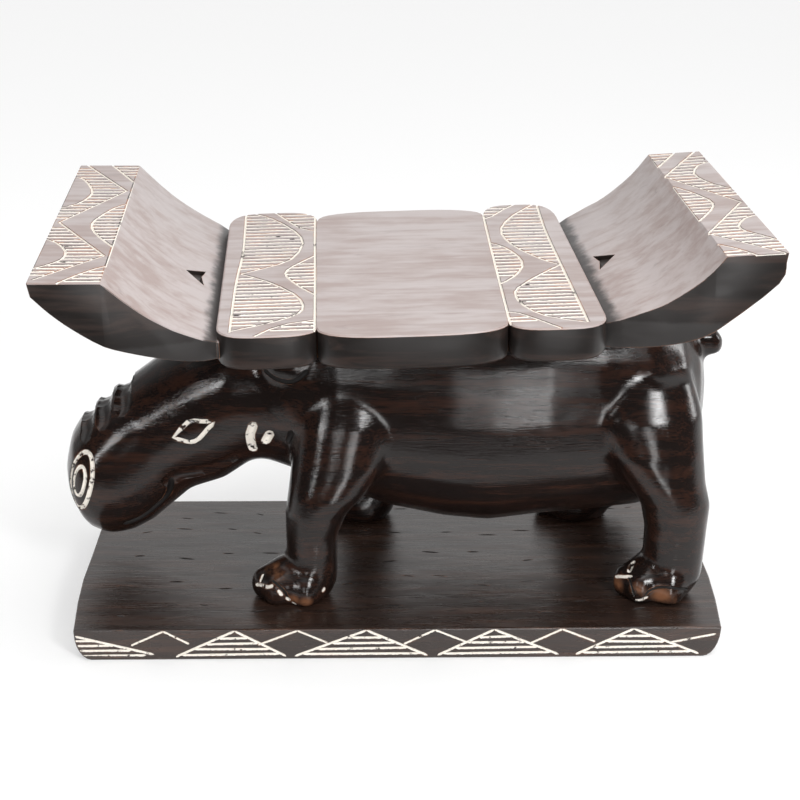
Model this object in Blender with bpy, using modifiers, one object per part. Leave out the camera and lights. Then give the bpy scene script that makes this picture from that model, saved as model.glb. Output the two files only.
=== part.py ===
"""Accent stool: a carved hippopotamus stands on a board and carries a seat with upturned wings.

Three carved blocks of dark wood are joined by hidden glued dowels. Lengths are in metres and +Z is up.
The hippopotamus looks along -X, and the part stands centred on the origin.
"""

import math

import bmesh
import bpy
from mathutils import Matrix, Vector
from mathutils.bvhtree import BVHTree

# Joints between the pieces

glue_gap = 0.0003
foot_dowel_radius = 0.005
board_left_under_dowel = 0.0094
foot_dowel_in_leg = 0.018
back_dowel_radius = 0.007
slab_left_over_dowel = 0.008
back_dowel_in_back = 0.022
dowel_facets = 20

# Hippopotamus: one carved block from muzzle to tail

figure_length = 0.448
figure_width = 0.140
figure_height = 0.1953
figure_shift_back = 0.014
skin_voxel = 0.0032
skin_smoothing = 6
skin_triangles = 5000
ring_points = 28
trunk_fullness = 2.3
head_fullness = 2.2
tail_fullness = 2
leg_fullness = 2.1

# Board: the plinth under the feet, with ends rounded under

muzzle_overhang = 0.0118
tail_overhang = 0.0096
board_margin = 0.0287
board_length = figure_length - muzzle_overhang - tail_overhang
board_depth = figure_width + 2 * board_margin
board_thickness = 0.0224
board_end_round = 0.011
board_end_drop = 0.020
board_end_facets = 6
board_skew = 0.009
board_end_bow = 0.003
board_bow_share = ((0, 0), (0.2, 0.8), (0.37, 1), (0.55, 0.5), (0.8, 0), (1, 0))
board_edge_round = 0.0012

# Seat: a scalloped slab with two wings that turn up to flat tips

seat_length = 0.448
seat_shift_right = 0.002
slab_length = 0.236
slab_thickness = 0.022
slab_top_round = 0.0008
slab_foot_round = 0.004
left_join_front = 0.0578
left_join_back = 0.0548
right_join_front = 0.0578
right_join_back = 0.0660
notch_depth = 0.231
corner_setback = 0.0075
centre_bulge = 0.0193
left_front_bulge = 0.0128
left_back_bulge = 0.0228
right_front_bulge = 0.0158
right_back_bulge = 0.0258
wing_rise = 0.0405
left_wing_depth = 0.2725
right_wing_depth = 0.2487
wing_root_overlap = 0.010
wing_edge_round = 0.0009
seat_tilt = math.radians(1.71)
seat_turn = math.radians(1.04)
lobe_points = 16
lobe_crown_power = 3.4
lobe_flank_power = 2.2
lobe_spacing_power = 0.8

# Wing outlines, as shares of the wing's reach and of its rise above the slab
left_wing_top_share = ((0, -0.15), (0.07, -0.06), (0.23, 0.16), (0.365, 0.40), (0.48, 0.66), (0.60, 0.97))
left_wing_under_share = ((0.985, 0.78), (0.89, 0.52), (0.77, 0.26), (0.61, -0.01), (0.44, -0.18),
                         (0.27, -0.31), (0.15, -0.38), (0, -0.43))
right_wing_top_share = ((0, -0.16), (0.07, -0.08), (0.20, 0.07), (0.34, 0.24), (0.53, 0.61), (0.65, 0.97))
right_wing_under_share = ((0.99, 0.84), (0.955, 0.52), (0.66, -0.10), (0.51, -0.33), (0.30, -0.46),
                          (0, -0.53))
wing_depth_share = ((0, 0.86), (0.07, 0.90), (0.23, 0.94), (0.60, 1), (1, 1))
wing_curve_steps = 3

# One chip-cut mark in each wing: a broad arrowhead that points up the wing
mark_length = 0.0135
mark_width = 0.029
mark_depth = 0.003
mark_from_slab = 0.0115
mark_notch_share = 0.18
left_mark_forward = 0.0118
right_mark_forward = 0.0017

# Chip-cut pattern on the seat: V lines along borders and arches, and hatched fields between them
seat_line_depth = 0.0012
hatch_pitch = 0.0070
hatch_spread_share = 0.12
hatch_width = 0.0036
hatch_depth = 0.0012
hatch_clearance = 0.0015
tip_rim = 0.0013
hatch_sway = 0.0004
cutter_rise = 0.0002
shortest_stroke = 0.0040
curved_line_steps = 2

# Lines of the two bands, as shares of half the slab's length and of half the depth between the notches
left_band_shares = {
    "outer": ((-0.905, 1.25), (-0.90, 0.40), (-0.915, 0), (-0.925, -0.35), (-0.93, -1.03)),
    "inner": ((-0.475, 1.25), (-0.485, 0.55), (-0.49, -0.20), (-0.50, -1.05)),
    "back arch": ((-0.88, 1.22), (-0.75, 1.08), (-0.605, 0.785), (-0.555, 0.51), (-0.625, 0.20),
                  (-0.77, 0.05), (-0.905, -0.045)),
    "front arch": ((-0.90, -0.05), (-0.755, -0.195), (-0.61, -0.425), (-0.558, -0.62), (-0.585, -0.765),
                   (-0.71, -0.885), (-0.925, -1.005)),
    "small arch": ((-0.487, 0.265), (-0.575, 0.13), (-0.645, 0), (-0.645, -0.12), (-0.57, -0.32),
                   (-0.493, -0.455)),
    "back part": ((-0.735, 1.23), (-0.635, 0.985), (-0.565, 0.835), (-0.482, 0.77)),
    "front part": ((-0.503, -0.875), (-0.63, -0.92), (-0.725, -0.995), (-0.805, -1.10)),
}
right_band_shares = {
    "outer": ((0.915, 1.25), (0.895, 0.79), (0.89, 0.45), (0.89, 0), (0.893, -1.05)),
    "inner": ((0.567, 1.25), (0.547, 0.75), (0.526, 0.06), (0.508, -0.56), (0.495, -1.05)),
    "back arch": ((0.885, 1.215), (0.735, 0.98), (0.637, 0.715), (0.635, 0.48), (0.70, 0.245),
                  (0.81, 0.03), (0.885, -0.055)),
    "front arch": ((0.885, -0.06), (0.745, -0.235), (0.605, -0.445), (0.575, -0.59), (0.60, -0.76),
                   (0.69, -0.93), (0.885, -1.045)),
    "small arch": ((0.535, 0.41), (0.605, 0.325), (0.67, 0.125), (0.672, -0.07), (0.60, -0.255),
                   (0.517, -0.37)),
    "back part": ((0.775, 1.23), (0.70, 1.135), (0.61, 0.98), (0.55, 0.925)),
    "front part": ((0.497, -0.847), (0.56, -0.875), (0.635, -0.97), (0.745, -1.13)),
}

# Lines on the tips, as shares of the wing's reach and of half its depth
left_tip_shares = {
    "zigzag": ((0.97, 1.035), (0.627, 0.48), (0.967, -0.08), (0.627, -0.613), (0.975, -0.955)),
    "ribbon": ((0.80, 1.035), (0.60, 0.65)),
    "middle arch": ((0.595, 0.235), (0.665, 0.17), (0.755, -0.03), (0.76, -0.165), (0.695, -0.32),
                    (0.595, -0.48)),
    "front arch": ((0.595, -0.77), (0.65, -0.80), (0.74, -0.89), (0.84, -1.01)),
    "back lobe": ((1.01, 0.76), (0.94, 0.72), (0.855, 0.52), (0.85, 0.38), (0.91, 0.245), (1.01, 0.165)),
    "front lobe": ((1.01, -0.35), (0.93, -0.41), (0.855, -0.545), (0.86, -0.66), (0.93, -0.745),
                   (1.01, -0.80)),
}
right_tip_shares = {
    "zigzag": ((0.975, 1.02), (0.64, 0.49), (0.98, -0.09), (0.64, -0.615), (0.98, -1.0)),
    "ribbon": ((0.835, 1.02), (0.645, 0.70)),
    "middle arch": ((0.645, 0.28), (0.715, 0.18), (0.80, -0.01), (0.795, -0.14), (0.725, -0.27),
                    (0.645, -0.39)),
    "front arch": ((0.645, -0.80), (0.69, -0.835), (0.755, -0.91), (0.825, -1.02)),
    "back lobe": ((1.01, 0.755), (0.915, 0.70), (0.845, 0.53), (0.865, 0.385), (0.92, 0.27), (1.01, 0.155)),
    "front lobe": ((1.01, -0.34), (0.92, -0.39), (0.85, -0.51), (0.86, -0.60), (0.93, -0.69), (1.01, -0.80)),
}

# Lines that meet are cut in different rounds; those not named here are cut in round 1
cutting_round = {"outer": 0, "inner": 0, "zigzag": 0, "front arch": 2}

# The figure's sections as shares of its length, height and width: top x and z, low x and z, half width,
# and distance of the middle from the figure's mid plane
trunk_share = (
    (0.288, 0.94, 0.288, 0.41, 0.33, 0),
    (0.344, 1.00, 0.344, 0.365, 0.385, 0),
    (0.411, 1.04, 0.411, 0.295, 0.43, 0),
    (0.489, 1.06, 0.489, 0.225, 0.45, 0),
    (0.578, 1.07, 0.578, 0.18, 0.465, 0),
    (0.645, 1.07, 0.645, 0.165, 0.47, 0),
    (0.723, 1.08, 0.723, 0.19, 0.47, 0),
    (0.801, 1.08, 0.801, 0.205, 0.455, 0),
    (0.879, 1.05, 0.879, 0.22, 0.415, 0),
    (0.929, 0.95, 0.929, 0.285, 0.33, 0),
    (0.961, 0.835, 0.961, 0.40, 0.215, 0),
    (0.976, 0.73, 0.976, 0.525, 0.085, 0),
)
head_share = (
    (0.306, 0.93, 0.324, 0.40, 0.355, 0),
    (0.234, 0.885, 0.283, 0.395, 0.34, 0),
    (0.182, 0.825, 0.239, 0.32, 0.315, 0),
    (0.138, 0.755, 0.187, 0.28, 0.29, 0),
    (0.100, 0.69, 0.156, 0.215, 0.28, 0),
    (0.058, 0.62, 0.127, 0.155, 0.295, 0),
    (0.023, 0.55, 0.098, 0.12, 0.305, 0),
    (0.003, 0.48, 0.066, 0.105, 0.29, 0),
    (-0.006, 0.39, 0.036, 0.13, 0.24, 0),
    (-0.006, 0.315, 0.012, 0.195, 0.13, 0),
)
near_front_leg_share = (
    (0.331, 0.058, 0.413, 0.058, 0.13, -0.443),
    (0.335, 0.16, 0.413, 0.16, 0.125, -0.443),
    (0.333, 0.227, 0.412, 0.227, 0.121, -0.443),
    (0.333, 0.319, 0.428, 0.319, 0.136, -0.436),
    (0.337, 0.38, 0.455, 0.38, 0.157, -0.42),
    (0.342, 0.473, 0.484, 0.473, 0.18, -0.37),
    (0.35, 0.626, 0.502, 0.626, 0.186, -0.31),
    (0.373, 0.78, 0.48, 0.78, 0.143, -0.26),
)
near_rear_leg_share = (
    (0.877, 0.058, 0.967, 0.058, 0.136, -0.443),
    (0.875, 0.176, 0.969, 0.176, 0.136, -0.443),
    (0.875, 0.252, 0.97, 0.252, 0.136, -0.443),
    (0.866, 0.345, 0.973, 0.345, 0.15, -0.436),
    (0.844, 0.416, 0.964, 0.416, 0.165, -0.42),
    (0.808, 0.524, 0.96, 0.524, 0.19, -0.38),
    (0.788, 0.652, 0.957, 0.652, 0.19, -0.33),
    (0.797, 0.78, 0.94, 0.78, 0.15, -0.28),
)
far_front_leg_share = (
    (0.431, 0.058, 0.511, 0.058, 0.13, 0.443),
    (0.428, 0.16, 0.511, 0.16, 0.125, 0.443),
    (0.417, 0.252, 0.507, 0.252, 0.13, 0.436),
    (0.40, 0.355, 0.502, 0.355, 0.15, 0.42),
    (0.377, 0.473, 0.502, 0.473, 0.18, 0.37),
    (0.364, 0.626, 0.502, 0.626, 0.186, 0.31),
    (0.377, 0.78, 0.48, 0.78, 0.143, 0.26),
)
far_rear_leg_share = (
    (0.768, 0.058, 0.897, 0.058, 0.136, 0.443),
    (0.778, 0.16, 0.92, 0.16, 0.14, 0.443),
    (0.788, 0.252, 0.94, 0.252, 0.145, 0.44),
    (0.797, 0.355, 0.945, 0.355, 0.157, 0.42),
    (0.797, 0.473, 0.948, 0.473, 0.18, 0.38),
    (0.792, 0.626, 0.949, 0.626, 0.186, 0.33),
    (0.801, 0.78, 0.935, 0.78, 0.15, 0.28),
)
tail_share = (
    (0.925, 0.80, 0.955, 0.80, 0.05, 0),
    (0.960, 0.87, 0.976, 0.82, 0.06, 0),
    (0.990, 0.875, 0.982, 0.80, 0.065, 0),
    (1.005, 0.83, 0.972, 0.79, 0.065, 0),
    (1.002, 0.77, 0.975, 0.77, 0.05, 0),
)

# Feet: a pad with three toes that fan out towards the muzzle and the outer side
foot_length = 0.052
foot_width = 0.043
foot_height = 0.029
foot_forward = 0.009
foot_pad_share = 1.3
foot_pad_rise_share = 0.35
toe_size = 0.021
toe_height_share = 0.95
toe_rise_share = 0.3

# Toes: place along the foot, place out from its middle, and size
toe_share = ((-0.44, 0.06, 0.9), (-0.27, 0.31, 0.95), (0.10, 0.34, 1.1))

# Ears and brows: low mounds on both sides of the head, placed by x, z and distance from the mid plane
ear_length = 0.034
ear_height = 0.026
ear_thickness = 0.014
ear_place_share = (0.342, 0.82, 0.345)
brow_length = 0.036
brow_height = 0.032
brow_thickness = 0.020
brow_place_share = (0.203, 0.60, 0.235)

# Gouge cuts on both sides of the head, as x and z shares: eye outline, mouth, hollow of the jaw, ear and neck
eye_line_share = ((0.166, 0.540), (0.189, 0.601), (0.209, 0.607), (0.227, 0.606),
                  (0.218, 0.580), (0.205, 0.542), (0.193, 0.527), (0.180, 0.532))
mouth_line_share = ((0.085, 0.195), (0.110, 0.211), (0.138, 0.262), (0.154, 0.310), (0.161, 0.385))
jaw_line_share = ((0.150, 0.36), (0.172, 0.39), (0.205, 0.405), (0.238, 0.44), (0.262, 0.48))
ear_line_share = ((0.303, 0.805), (0.322, 0.779), (0.340, 0.771), (0.354, 0.783), (0.367, 0.812))
neck_line_shares = (
    ((0.288, 0.610), (0.281, 0.553), (0.286, 0.485)),
    ((0.313, 0.578), (0.302, 0.525)),
    ((0.344, 0.590), (0.338, 0.540)),
)
line_radius = 0.0015
line_depth = 0.0012
mouth_radius = 0.0024
mouth_depth = 0.0018
jaw_radius = 0.010
jaw_depth = 0.0018
neck_radius = 0.0032
neck_depth = 0.0018
line_steps = 3

# Nostrils: two ovals, one inside the other, on each front corner of the muzzle
nostril_height = 0.042
nostril_width = 0.019
nostril_inner_share = 0.52
nostril_place_share = (0.019, 0.365, 0.26)
nostril_turn = math.radians(47)
nostril_lean = math.radians(12)
nostril_points = 16

# Folds across the top of the muzzle: top x and z, and how low they reach on the sides
fold_share = ((0.088, 0.672, 0.60), (0.058, 0.622, 0.55), (0.031, 0.572, 0.50))
fold_radius = 0.009
fold_depth = 0.0022
fold_points = 12

finish_roughness = 0.35
seat_colour = (0.060, 0.038, 0.030, 1)
figure_colour = (0.018, 0.011, 0.008, 1)
board_colour = (0.030, 0.018, 0.013, 1)
dowel_colour = (0.35, 0.22, 0.12, 1)


def clear_scene():
    for obj in list(bpy.data.objects):
        bpy.data.objects.remove(obj, do_unlink=True)


def new_collection(name):
    collection = bpy.data.collections.new(name)
    bpy.context.scene.collection.children.link(collection)
    return collection


def wood(name, colour, roughness):
    material = bpy.data.materials.new(name)
    material.use_nodes = True
    shader = material.node_tree.nodes["Principled BSDF"]
    shader.inputs["Base Color"].default_value = colour
    shader.inputs["Roughness"].default_value = roughness
    shader.inputs["Metallic"].default_value = 0
    return material


def new_object(name, mesh, collection, material=None):
    obj = bpy.data.objects.new(name, mesh)
    collection.objects.link(obj)
    if material is None:
        obj.hide_render = True
        obj.display_type = "WIRE"
    else:
        mesh.materials.clear()
        mesh.materials.append(material)
    return obj


def smooth_shading(mesh):
    mesh.shade_smooth()
    mesh.set_sharp_from_angle(angle=math.radians(35))


def extruded_outline(points, half_thickness):
    """A closed mesh from a flat outline in XY, as thick above the plane as below it."""
    curve = bpy.data.curves.new("outline", "CURVE")
    curve.dimensions = "2D"
    curve.fill_mode = "BOTH"
    curve.extrude = half_thickness
    spline = curve.splines.new("POLY")
    spline.points.add(len(points) - 1)
    for point, (x, y) in zip(spline.points, points):
        point.co = (x, y, 0, 1)
    spline.use_cyclic_u = True
    guide = bpy.data.objects.new("outline", curve)
    bpy.context.scene.collection.objects.link(guide)
    bpy.context.view_layer.update()
    evaluated = guide.evaluated_get(bpy.context.evaluated_depsgraph_get())
    mesh = bpy.data.meshes.new_from_object(evaluated)
    bpy.data.objects.remove(guide, do_unlink=True)
    bm = bmesh.new()
    bm.from_mesh(mesh)
    bmesh.ops.remove_doubles(bm, verts=bm.verts, dist=half_thickness / 1000)
    bmesh.ops.dissolve_limit(bm, angle_limit=math.radians(0.1), verts=bm.verts, edges=bm.edges)
    bmesh.ops.recalc_face_normals(bm, faces=bm.faces)
    bm.to_mesh(mesh)
    bm.free()
    return mesh


def upright(mesh):
    """Turns an outline's plane from XY to XZ."""
    mesh.transform(Matrix.Rotation(math.radians(90), 4, "X"))


def round_edges(obj, width, segments, angle):
    bevel = obj.modifiers.new("rounded edges", "BEVEL")
    bevel.width = width
    bevel.segments = segments
    bevel.limit_method = "ANGLE"
    bevel.angle_limit = angle
    return bevel


def cut(obj, cutter, operation="DIFFERENCE"):
    boolean = obj.modifiers.new("cut", "BOOLEAN")
    boolean.operation = operation
    boolean.solver = "EXACT"
    boolean.object = cutter
    return boolean


def bake(obj):
    """Replaces the object's mesh by what its modifiers make of it."""
    bpy.context.view_layer.update()
    evaluated = obj.evaluated_get(bpy.context.evaluated_depsgraph_get())
    mesh = bpy.data.meshes.new_from_object(evaluated)
    obj.modifiers.clear()
    obj.data = mesh


def table_value(table, at):
    """Straight-line reading of a table of pairs."""
    for (x0, v0), (x1, v1) in zip(table, table[1:]):
        if at <= x1:
            return v0 + (v1 - v0) * max(at - x0, 0) / (x1 - x0)
    return table[-1][1]


def smooth_through(points, steps):
    """Points along a smooth curve through the given ones (Catmull-Rom)."""
    ends = [points[0], *points, points[-1]]
    curve = []
    for a, b, c, d in zip(ends, ends[1:], ends[2:], ends[3:]):
        for step in range(steps):
            t = step / steps
            curve.append(tuple(
                b[i] + t * (c[i] - a[i]) / 2
                + t * t * (a[i] - 2.5 * b[i] + 2 * c[i] - d[i] / 2)
                + t * t * t * (1.5 * (b[i] - c[i]) + (d[i] - a[i]) / 2)
                for i in range(2)))
    curve.append(tuple(points[-1]))
    return curve


# Board


def board_outline():
    half = board_length / 2
    corner = []
    for step in range(board_end_facets + 1):
        turn = math.pi / 2 * step / board_end_facets
        corner.append((half - board_end_round * (1 - math.cos(turn)), board_end_drop * (1 - math.sin(turn))))
    right = [(half, board_thickness), *corner]
    left = [(-x, z) for x, z in reversed(right)]
    return right + left


def bow_ends(mesh):
    """Curves both ends outwards towards the front, and skews the right one."""
    bm = bmesh.new()
    bm.from_mesh(mesh)
    for share, _ in board_bow_share[1:-1]:
        place = (0, (share - 0.5) * board_depth, 0)
        bmesh.ops.bisect_plane(bm, geom=[*bm.verts, *bm.edges, *bm.faces], plane_co=place, plane_no=(0, 1, 0))
    for vertex in bm.verts:
        along = 0.5 + vertex.co.y / board_depth
        bow = board_end_bow * table_value(board_bow_share, along)
        vertex.co.x += bow + board_skew * along if vertex.co.x > 0 else -bow
    bm.to_mesh(mesh)
    bm.free()


def make_board(parts, material):
    mesh = extruded_outline(board_outline(), board_depth / 2)
    upright(mesh)
    bow_ends(mesh)
    board = new_object("board", mesh, parts, material)
    round_edges(board, board_edge_round, 2, math.radians(50))
    return board


# Seat


def lobe(x0, y0, x1, y1, peak):
    """Points of one bulging front edge from notch to notch."""
    points = []
    for step in range(1, lobe_points):
        turn = math.pi * step / lobe_points
        across = -math.cos(turn)
        across = math.copysign(abs(across) ** lobe_spacing_power, across)
        bulge = (1 - abs(across) ** lobe_crown_power) ** (1 / lobe_flank_power)
        t = (1 + across) / 2
        rest = y0 + (y1 - y0) * t
        points.append((x0 + (x1 - x0) * t, rest + (peak - rest) * bulge))
    return points


def slab_outline():
    end = slab_length / 2
    notch = notch_depth / 2
    corner = notch - corner_setback
    front = [(-end, -corner)]
    front += lobe(-end, -corner, -left_join_front, -notch, -notch - left_front_bulge)
    front += [(-left_join_front, -notch)]
    front += lobe(-left_join_front, -notch, right_join_front, -notch, -notch - centre_bulge)
    front += [(right_join_front, -notch)]
    front += lobe(right_join_front, -notch, end, -corner, -notch - right_front_bulge)
    front += [(end, -corner)]
    back = [(end, corner)]
    back += lobe(end, corner, right_join_back, notch, notch + right_back_bulge)
    back += [(right_join_back, notch)]
    back += lobe(right_join_back, notch, -left_join_back, notch, notch + centre_bulge)
    back += [(-left_join_back, notch)]
    back += lobe(-left_join_back, notch, -end, corner, notch + left_back_bulge)
    back += [(-end, corner)]
    return front + back


def make_slab(cutters):
    mesh = extruded_outline(slab_outline(), slab_thickness / 2)
    mesh.transform(Matrix.Translation((0, 0, -slab_thickness / 2)))
    bm = bmesh.new()
    bm.from_mesh(mesh)
    for height, width, segments in ((0, slab_top_round, 1), (-slab_thickness, slab_foot_round, 3)):
        rim = [edge for edge in bm.edges
               if all(abs(v.co.z - height) < slab_thickness / 4 for v in edge.verts)
               and len(edge.link_faces) == 2
               and abs(edge.link_faces[0].normal.z - edge.link_faces[1].normal.z) > 0.5]
        bmesh.ops.bevel(bm, geom=rim, offset=width, segments=segments, profile=0.5, affect="EDGES")
    bm.to_mesh(mesh)
    bm.free()
    return new_object("slab", mesh, cutters)


def wing_outline(top_share, under_share):
    """One wing's side outline, measured from the slab's end and its top."""
    reach = (seat_length - slab_length) / 2
    top = smooth_through([(x * reach, z * wing_rise) for x, z in top_share], wing_curve_steps)
    under = smooth_through([(x * reach, z * wing_rise) for x, z in under_share], wing_curve_steps)
    root_top = (-wing_root_overlap, top[0][1])
    root_under = (-wing_root_overlap, under[-1][1])
    return [root_top, *top, (reach, wing_rise), *under, root_under]


def make_wing(name, side, top_share, under_share, depth, cutters):
    """A wing on the side -1 (left) or 1 (right), wider at its tip than at the slab."""
    reach = (seat_length - slab_length) / 2
    mesh = extruded_outline(wing_outline(top_share, under_share), depth / 2)
    upright(mesh)
    bm = bmesh.new()
    bm.from_mesh(mesh)
    for share, _ in wing_depth_share[:-1]:
        place = (share * reach, 0, 0)
        bmesh.ops.bisect_plane(bm, geom=[*bm.verts, *bm.edges, *bm.faces], dist=wing_edge_round / 1000,
                               plane_co=place, plane_no=(1, 0, 0))
    for vertex in bm.verts:
        vertex.co.y *= table_value(wing_depth_share, vertex.co.x / reach)
    bm.to_mesh(mesh)
    bm.free()
    mesh.transform(Matrix.Translation((slab_length / 2, 0, 0)))
    if side < 0:
        mesh.transform(Matrix.Scale(-1, 4, (1, 0, 0)))
        mesh.flip_normals()
    wing = new_object(name, mesh, cutters)
    round_edges(wing, wing_edge_round, 2, math.radians(40))
    return wing


def make_mark(name, side, top_share, forward, cutters):
    """An arrowhead prism that stands in the wing's surface."""
    reach = (seat_length - slab_length) / 2
    half = mark_width / 2
    points = [(0, half), (mark_length, 0), (0, -half), (mark_notch_share * mark_length, 0)]
    mesh = extruded_outline(points, mark_depth)
    start = mark_from_slab / reach
    end = (mark_from_slab + mark_length) / reach
    table = smooth_through(top_share, wing_curve_steps)
    low = table_value(table, start) * wing_rise
    high = table_value(table, end) * wing_rise
    lean = math.atan2(high - low, mark_length)
    mesh.transform(Matrix.Rotation(-lean, 4, "Y"))
    place = (slab_length / 2 + mark_from_slab, -forward, low)
    mesh.transform(Matrix.Translation(place))
    if side < 0:
        mesh.transform(Matrix.Scale(-1, 4, (1, 0, 0)))
        mesh.flip_normals()
    return new_object(name, mesh, cutters)


def band_lines(shares):
    """The lines of a band in the seat's own frame."""
    lines = {}
    for name, table in shares.items():
        points = [(x * slab_length / 2, y * notch_depth / 2) for x, y in table]
        lines[name] = smooth_through(points, curved_line_steps)
    return lines


def tip_lines(shares, side, depth):
    """The lines of a tip, with its inner and outer edges. The zigzag and the ribbon are straight."""
    start = slab_length / 2
    reach = seat_length / 2 - start
    lines = {}
    for name, table in shares.items():
        points = [(side * (start + along * reach), across * depth / 2) for along, across in table]
        lines[name] = points if name in ("zigzag", "ribbon") else smooth_through(points, curved_line_steps)
    return lines


def upright_line(x):
    return [(x, seat_length), (x, -seat_length)]


def crossing(lines, y):
    """Where the first of the lines that reaches y crosses it."""
    for line in lines:
        for (x0, y0), (x1, y1) in zip(line, line[1:]):
            if y0 != y1 and (y0 - y) * (y1 - y) <= 0:
                return x0 + (x1 - x0) * (y - y0) / (y1 - y0)
    return None


def hatch(low, high, one_side, other_side):
    """Ends of the strokes that fill the field between two sides, from y low to y high."""
    strokes = []
    y = low + hatch_pitch / 2
    while y < high:
        levels = [y - hatch_width / 2, y, y + hatch_width / 2]
        ends = [[crossing(lines, level) for level in levels] for lines in (one_side, other_side)]
        if None not in ends[0] + ends[1]:
            low_end, high_end = sorted(ends)
            left = max(low_end) + hatch_clearance
            right = min(high_end) - hatch_clearance
            sway = hatch_sway * math.sin(len(strokes) * math.radians(137))
            if right - left > shortest_stroke:
                strokes.append(((left, y - sway), (right, y + sway)))
        y += hatch_pitch * (1 + hatch_spread_share * y / (notch_depth / 2))
    return strokes


def band_strokes(lines):
    strokes = []
    for arch in ("back arch", "front arch"):
        line = lines[arch]
        strokes += hatch(line[-1][1], line[0][1], [line], [lines["outer"]])
    for arch in ("small arch", "back part", "front part"):
        line = lines[arch]
        strokes += hatch(line[-1][1], line[0][1], [line], [lines["inner"]])
    return strokes


def tip_strokes(lines, side, top_share, depth):
    """Strokes on a tip's flat face, which stop short of its rounded edges."""
    start = slab_length / 2
    reach = seat_length / 2 - start
    past_rim = hatch_clearance - tip_rim
    inner = upright_line(side * (start + top_share[-1][0] * reach - past_rim))
    outer = upright_line(side * (seat_length / 2 + past_rim))
    zigzag = lines["zigzag"]
    strokes = hatch(lines["ribbon"][1][1], depth / 2, [lines["ribbon"]], [inner])
    for arch in ("middle arch", "front arch"):
        line = lines[arch]
        strokes += hatch(max(line[-1][1], -depth / 2), line[0][1], [line], [inner])
    strokes += hatch(zigzag[2][1], depth / 2, [zigzag], [lines["back lobe"], outer])
    strokes += hatch(zigzag[-1][1], zigzag[2][1], [zigzag], [lines["front lobe"], outer])
    return strokes


def tip_height(x, top_share):
    """Height of a wing's flat tip over the slab's top."""
    reach = (seat_length - slab_length) / 2
    return wing_rise * table_value((top_share[-1], (1, 1)), (abs(x) - slab_length / 2) / reach)


def strokes_cutter(strokes, cutters):
    """One cutter of many four-sided bars, which cut V strokes of the hatch's width and depth."""
    bm = bmesh.new()
    lying = Matrix.Rotation(math.radians(90), 4, "Y")
    for start, end in strokes:
        along = end - start
        turn = along.to_track_quat("X", "Z").to_matrix().to_4x4()
        size = Matrix.Diagonal((along.length, hatch_width / 2, hatch_depth, 1))
        place = Matrix.Translation((start + end) / 2)
        bmesh.ops.create_cone(bm, cap_ends=True, segments=4, radius1=1, radius2=1, depth=1,
                              matrix=place @ turn @ size @ lying)
    mesh = bpy.data.meshes.new("strokes")
    bm.to_mesh(mesh)
    bm.free()
    return new_object("strokes", mesh, cutters)


def lines_cutter(lines, cutters):
    """One cutter of several lines, which don't meet."""
    bm = bmesh.new()
    for line in lines:
        bar = gouge_cutter("line", line, seat_line_depth, False, cutters, 0)
        bm.from_mesh(bar.data)
        bpy.data.objects.remove(bar, do_unlink=True)
    mesh = bpy.data.meshes.new("lines")
    bm.to_mesh(mesh)
    bm.free()
    return new_object("lines", mesh, cutters)


def laid(line, top_share):
    """Lays a line on the slab, or on a wing's tip, with the cutter's widest corners just over the wood."""
    heights = [tip_height(x, top_share) if top_share else 0 for x, _ in line]
    return [Vector((x, y, z + cutter_rise)) for (x, y), z in zip(line, heights)]


def add_pattern(seat, cutters):
    """Cuts the pattern of both bands and both tips. The exact solver leaves open edges here."""
    fields = []
    for shares in (left_band_shares, right_band_shares):
        lines = band_lines(shares)
        fields.append((lines, band_strokes(lines), None))
    for side, shares, top_share, depth in ((-1, left_tip_shares, left_wing_top_share, left_wing_depth),
                                           (1, right_tip_shares, right_wing_top_share, right_wing_depth)):
        lines = tip_lines(shares, side, depth)
        fields.append((lines, tip_strokes(lines, side, top_share, depth), top_share))
    rounds = ([], [], [])
    strokes = []
    for lines, marks, top_share in fields:
        for name, line in lines.items():
            rounds[cutting_round.get(name, 1)].append(laid(line, top_share))
        strokes += [laid(mark, top_share) for mark in marks]
    patterns = [lines_cutter(lines, cutters) for lines in rounds]
    for cutter in (*patterns, strokes_cutter(strokes, cutters)):
        cut(seat, cutter).solver = "MANIFOLD"
        bake(seat)


def seat_matrix():
    """Place of the seat's own frame, whose origin is the middle of the slab's top."""
    height = board_thickness + figure_height + slab_thickness + 2 * glue_gap
    turn = Matrix.Rotation(seat_turn, 4, "Z") @ Matrix.Rotation(-seat_tilt, 4, "Y")
    return Matrix.Translation((seat_shift_right, 0, height)) @ turn


def make_seat(parts, cutters, material):
    slab = make_slab(cutters)
    left = make_wing("left wing", -1, left_wing_top_share, left_wing_under_share, left_wing_depth, cutters)
    right = make_wing("right wing", 1, right_wing_top_share, right_wing_under_share, right_wing_depth,
                      cutters)
    marks = [make_mark("left mark", -1, left_wing_top_share, left_mark_forward, cutters),
             make_mark("right mark", 1, right_wing_top_share, right_mark_forward, cutters)]
    seat = new_object("seat", slab.data.copy(), parts, material)
    for wing in (left, right):
        cut(seat, wing, "UNION")
    for mark in marks:
        cut(seat, mark)
    bake(seat)
    add_pattern(seat, cutters)
    seat.data.transform(seat_matrix())
    return seat


# Hippopotamus


def figure_point(x_share, y_share, z_share):
    """A place on the figure from shares of its length, width and height."""
    start = -board_length / 2 - muzzle_overhang
    return Vector((start + x_share * figure_length,
                   figure_shift_back + y_share * figure_width,
                   board_thickness + glue_gap + z_share * figure_height))


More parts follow.
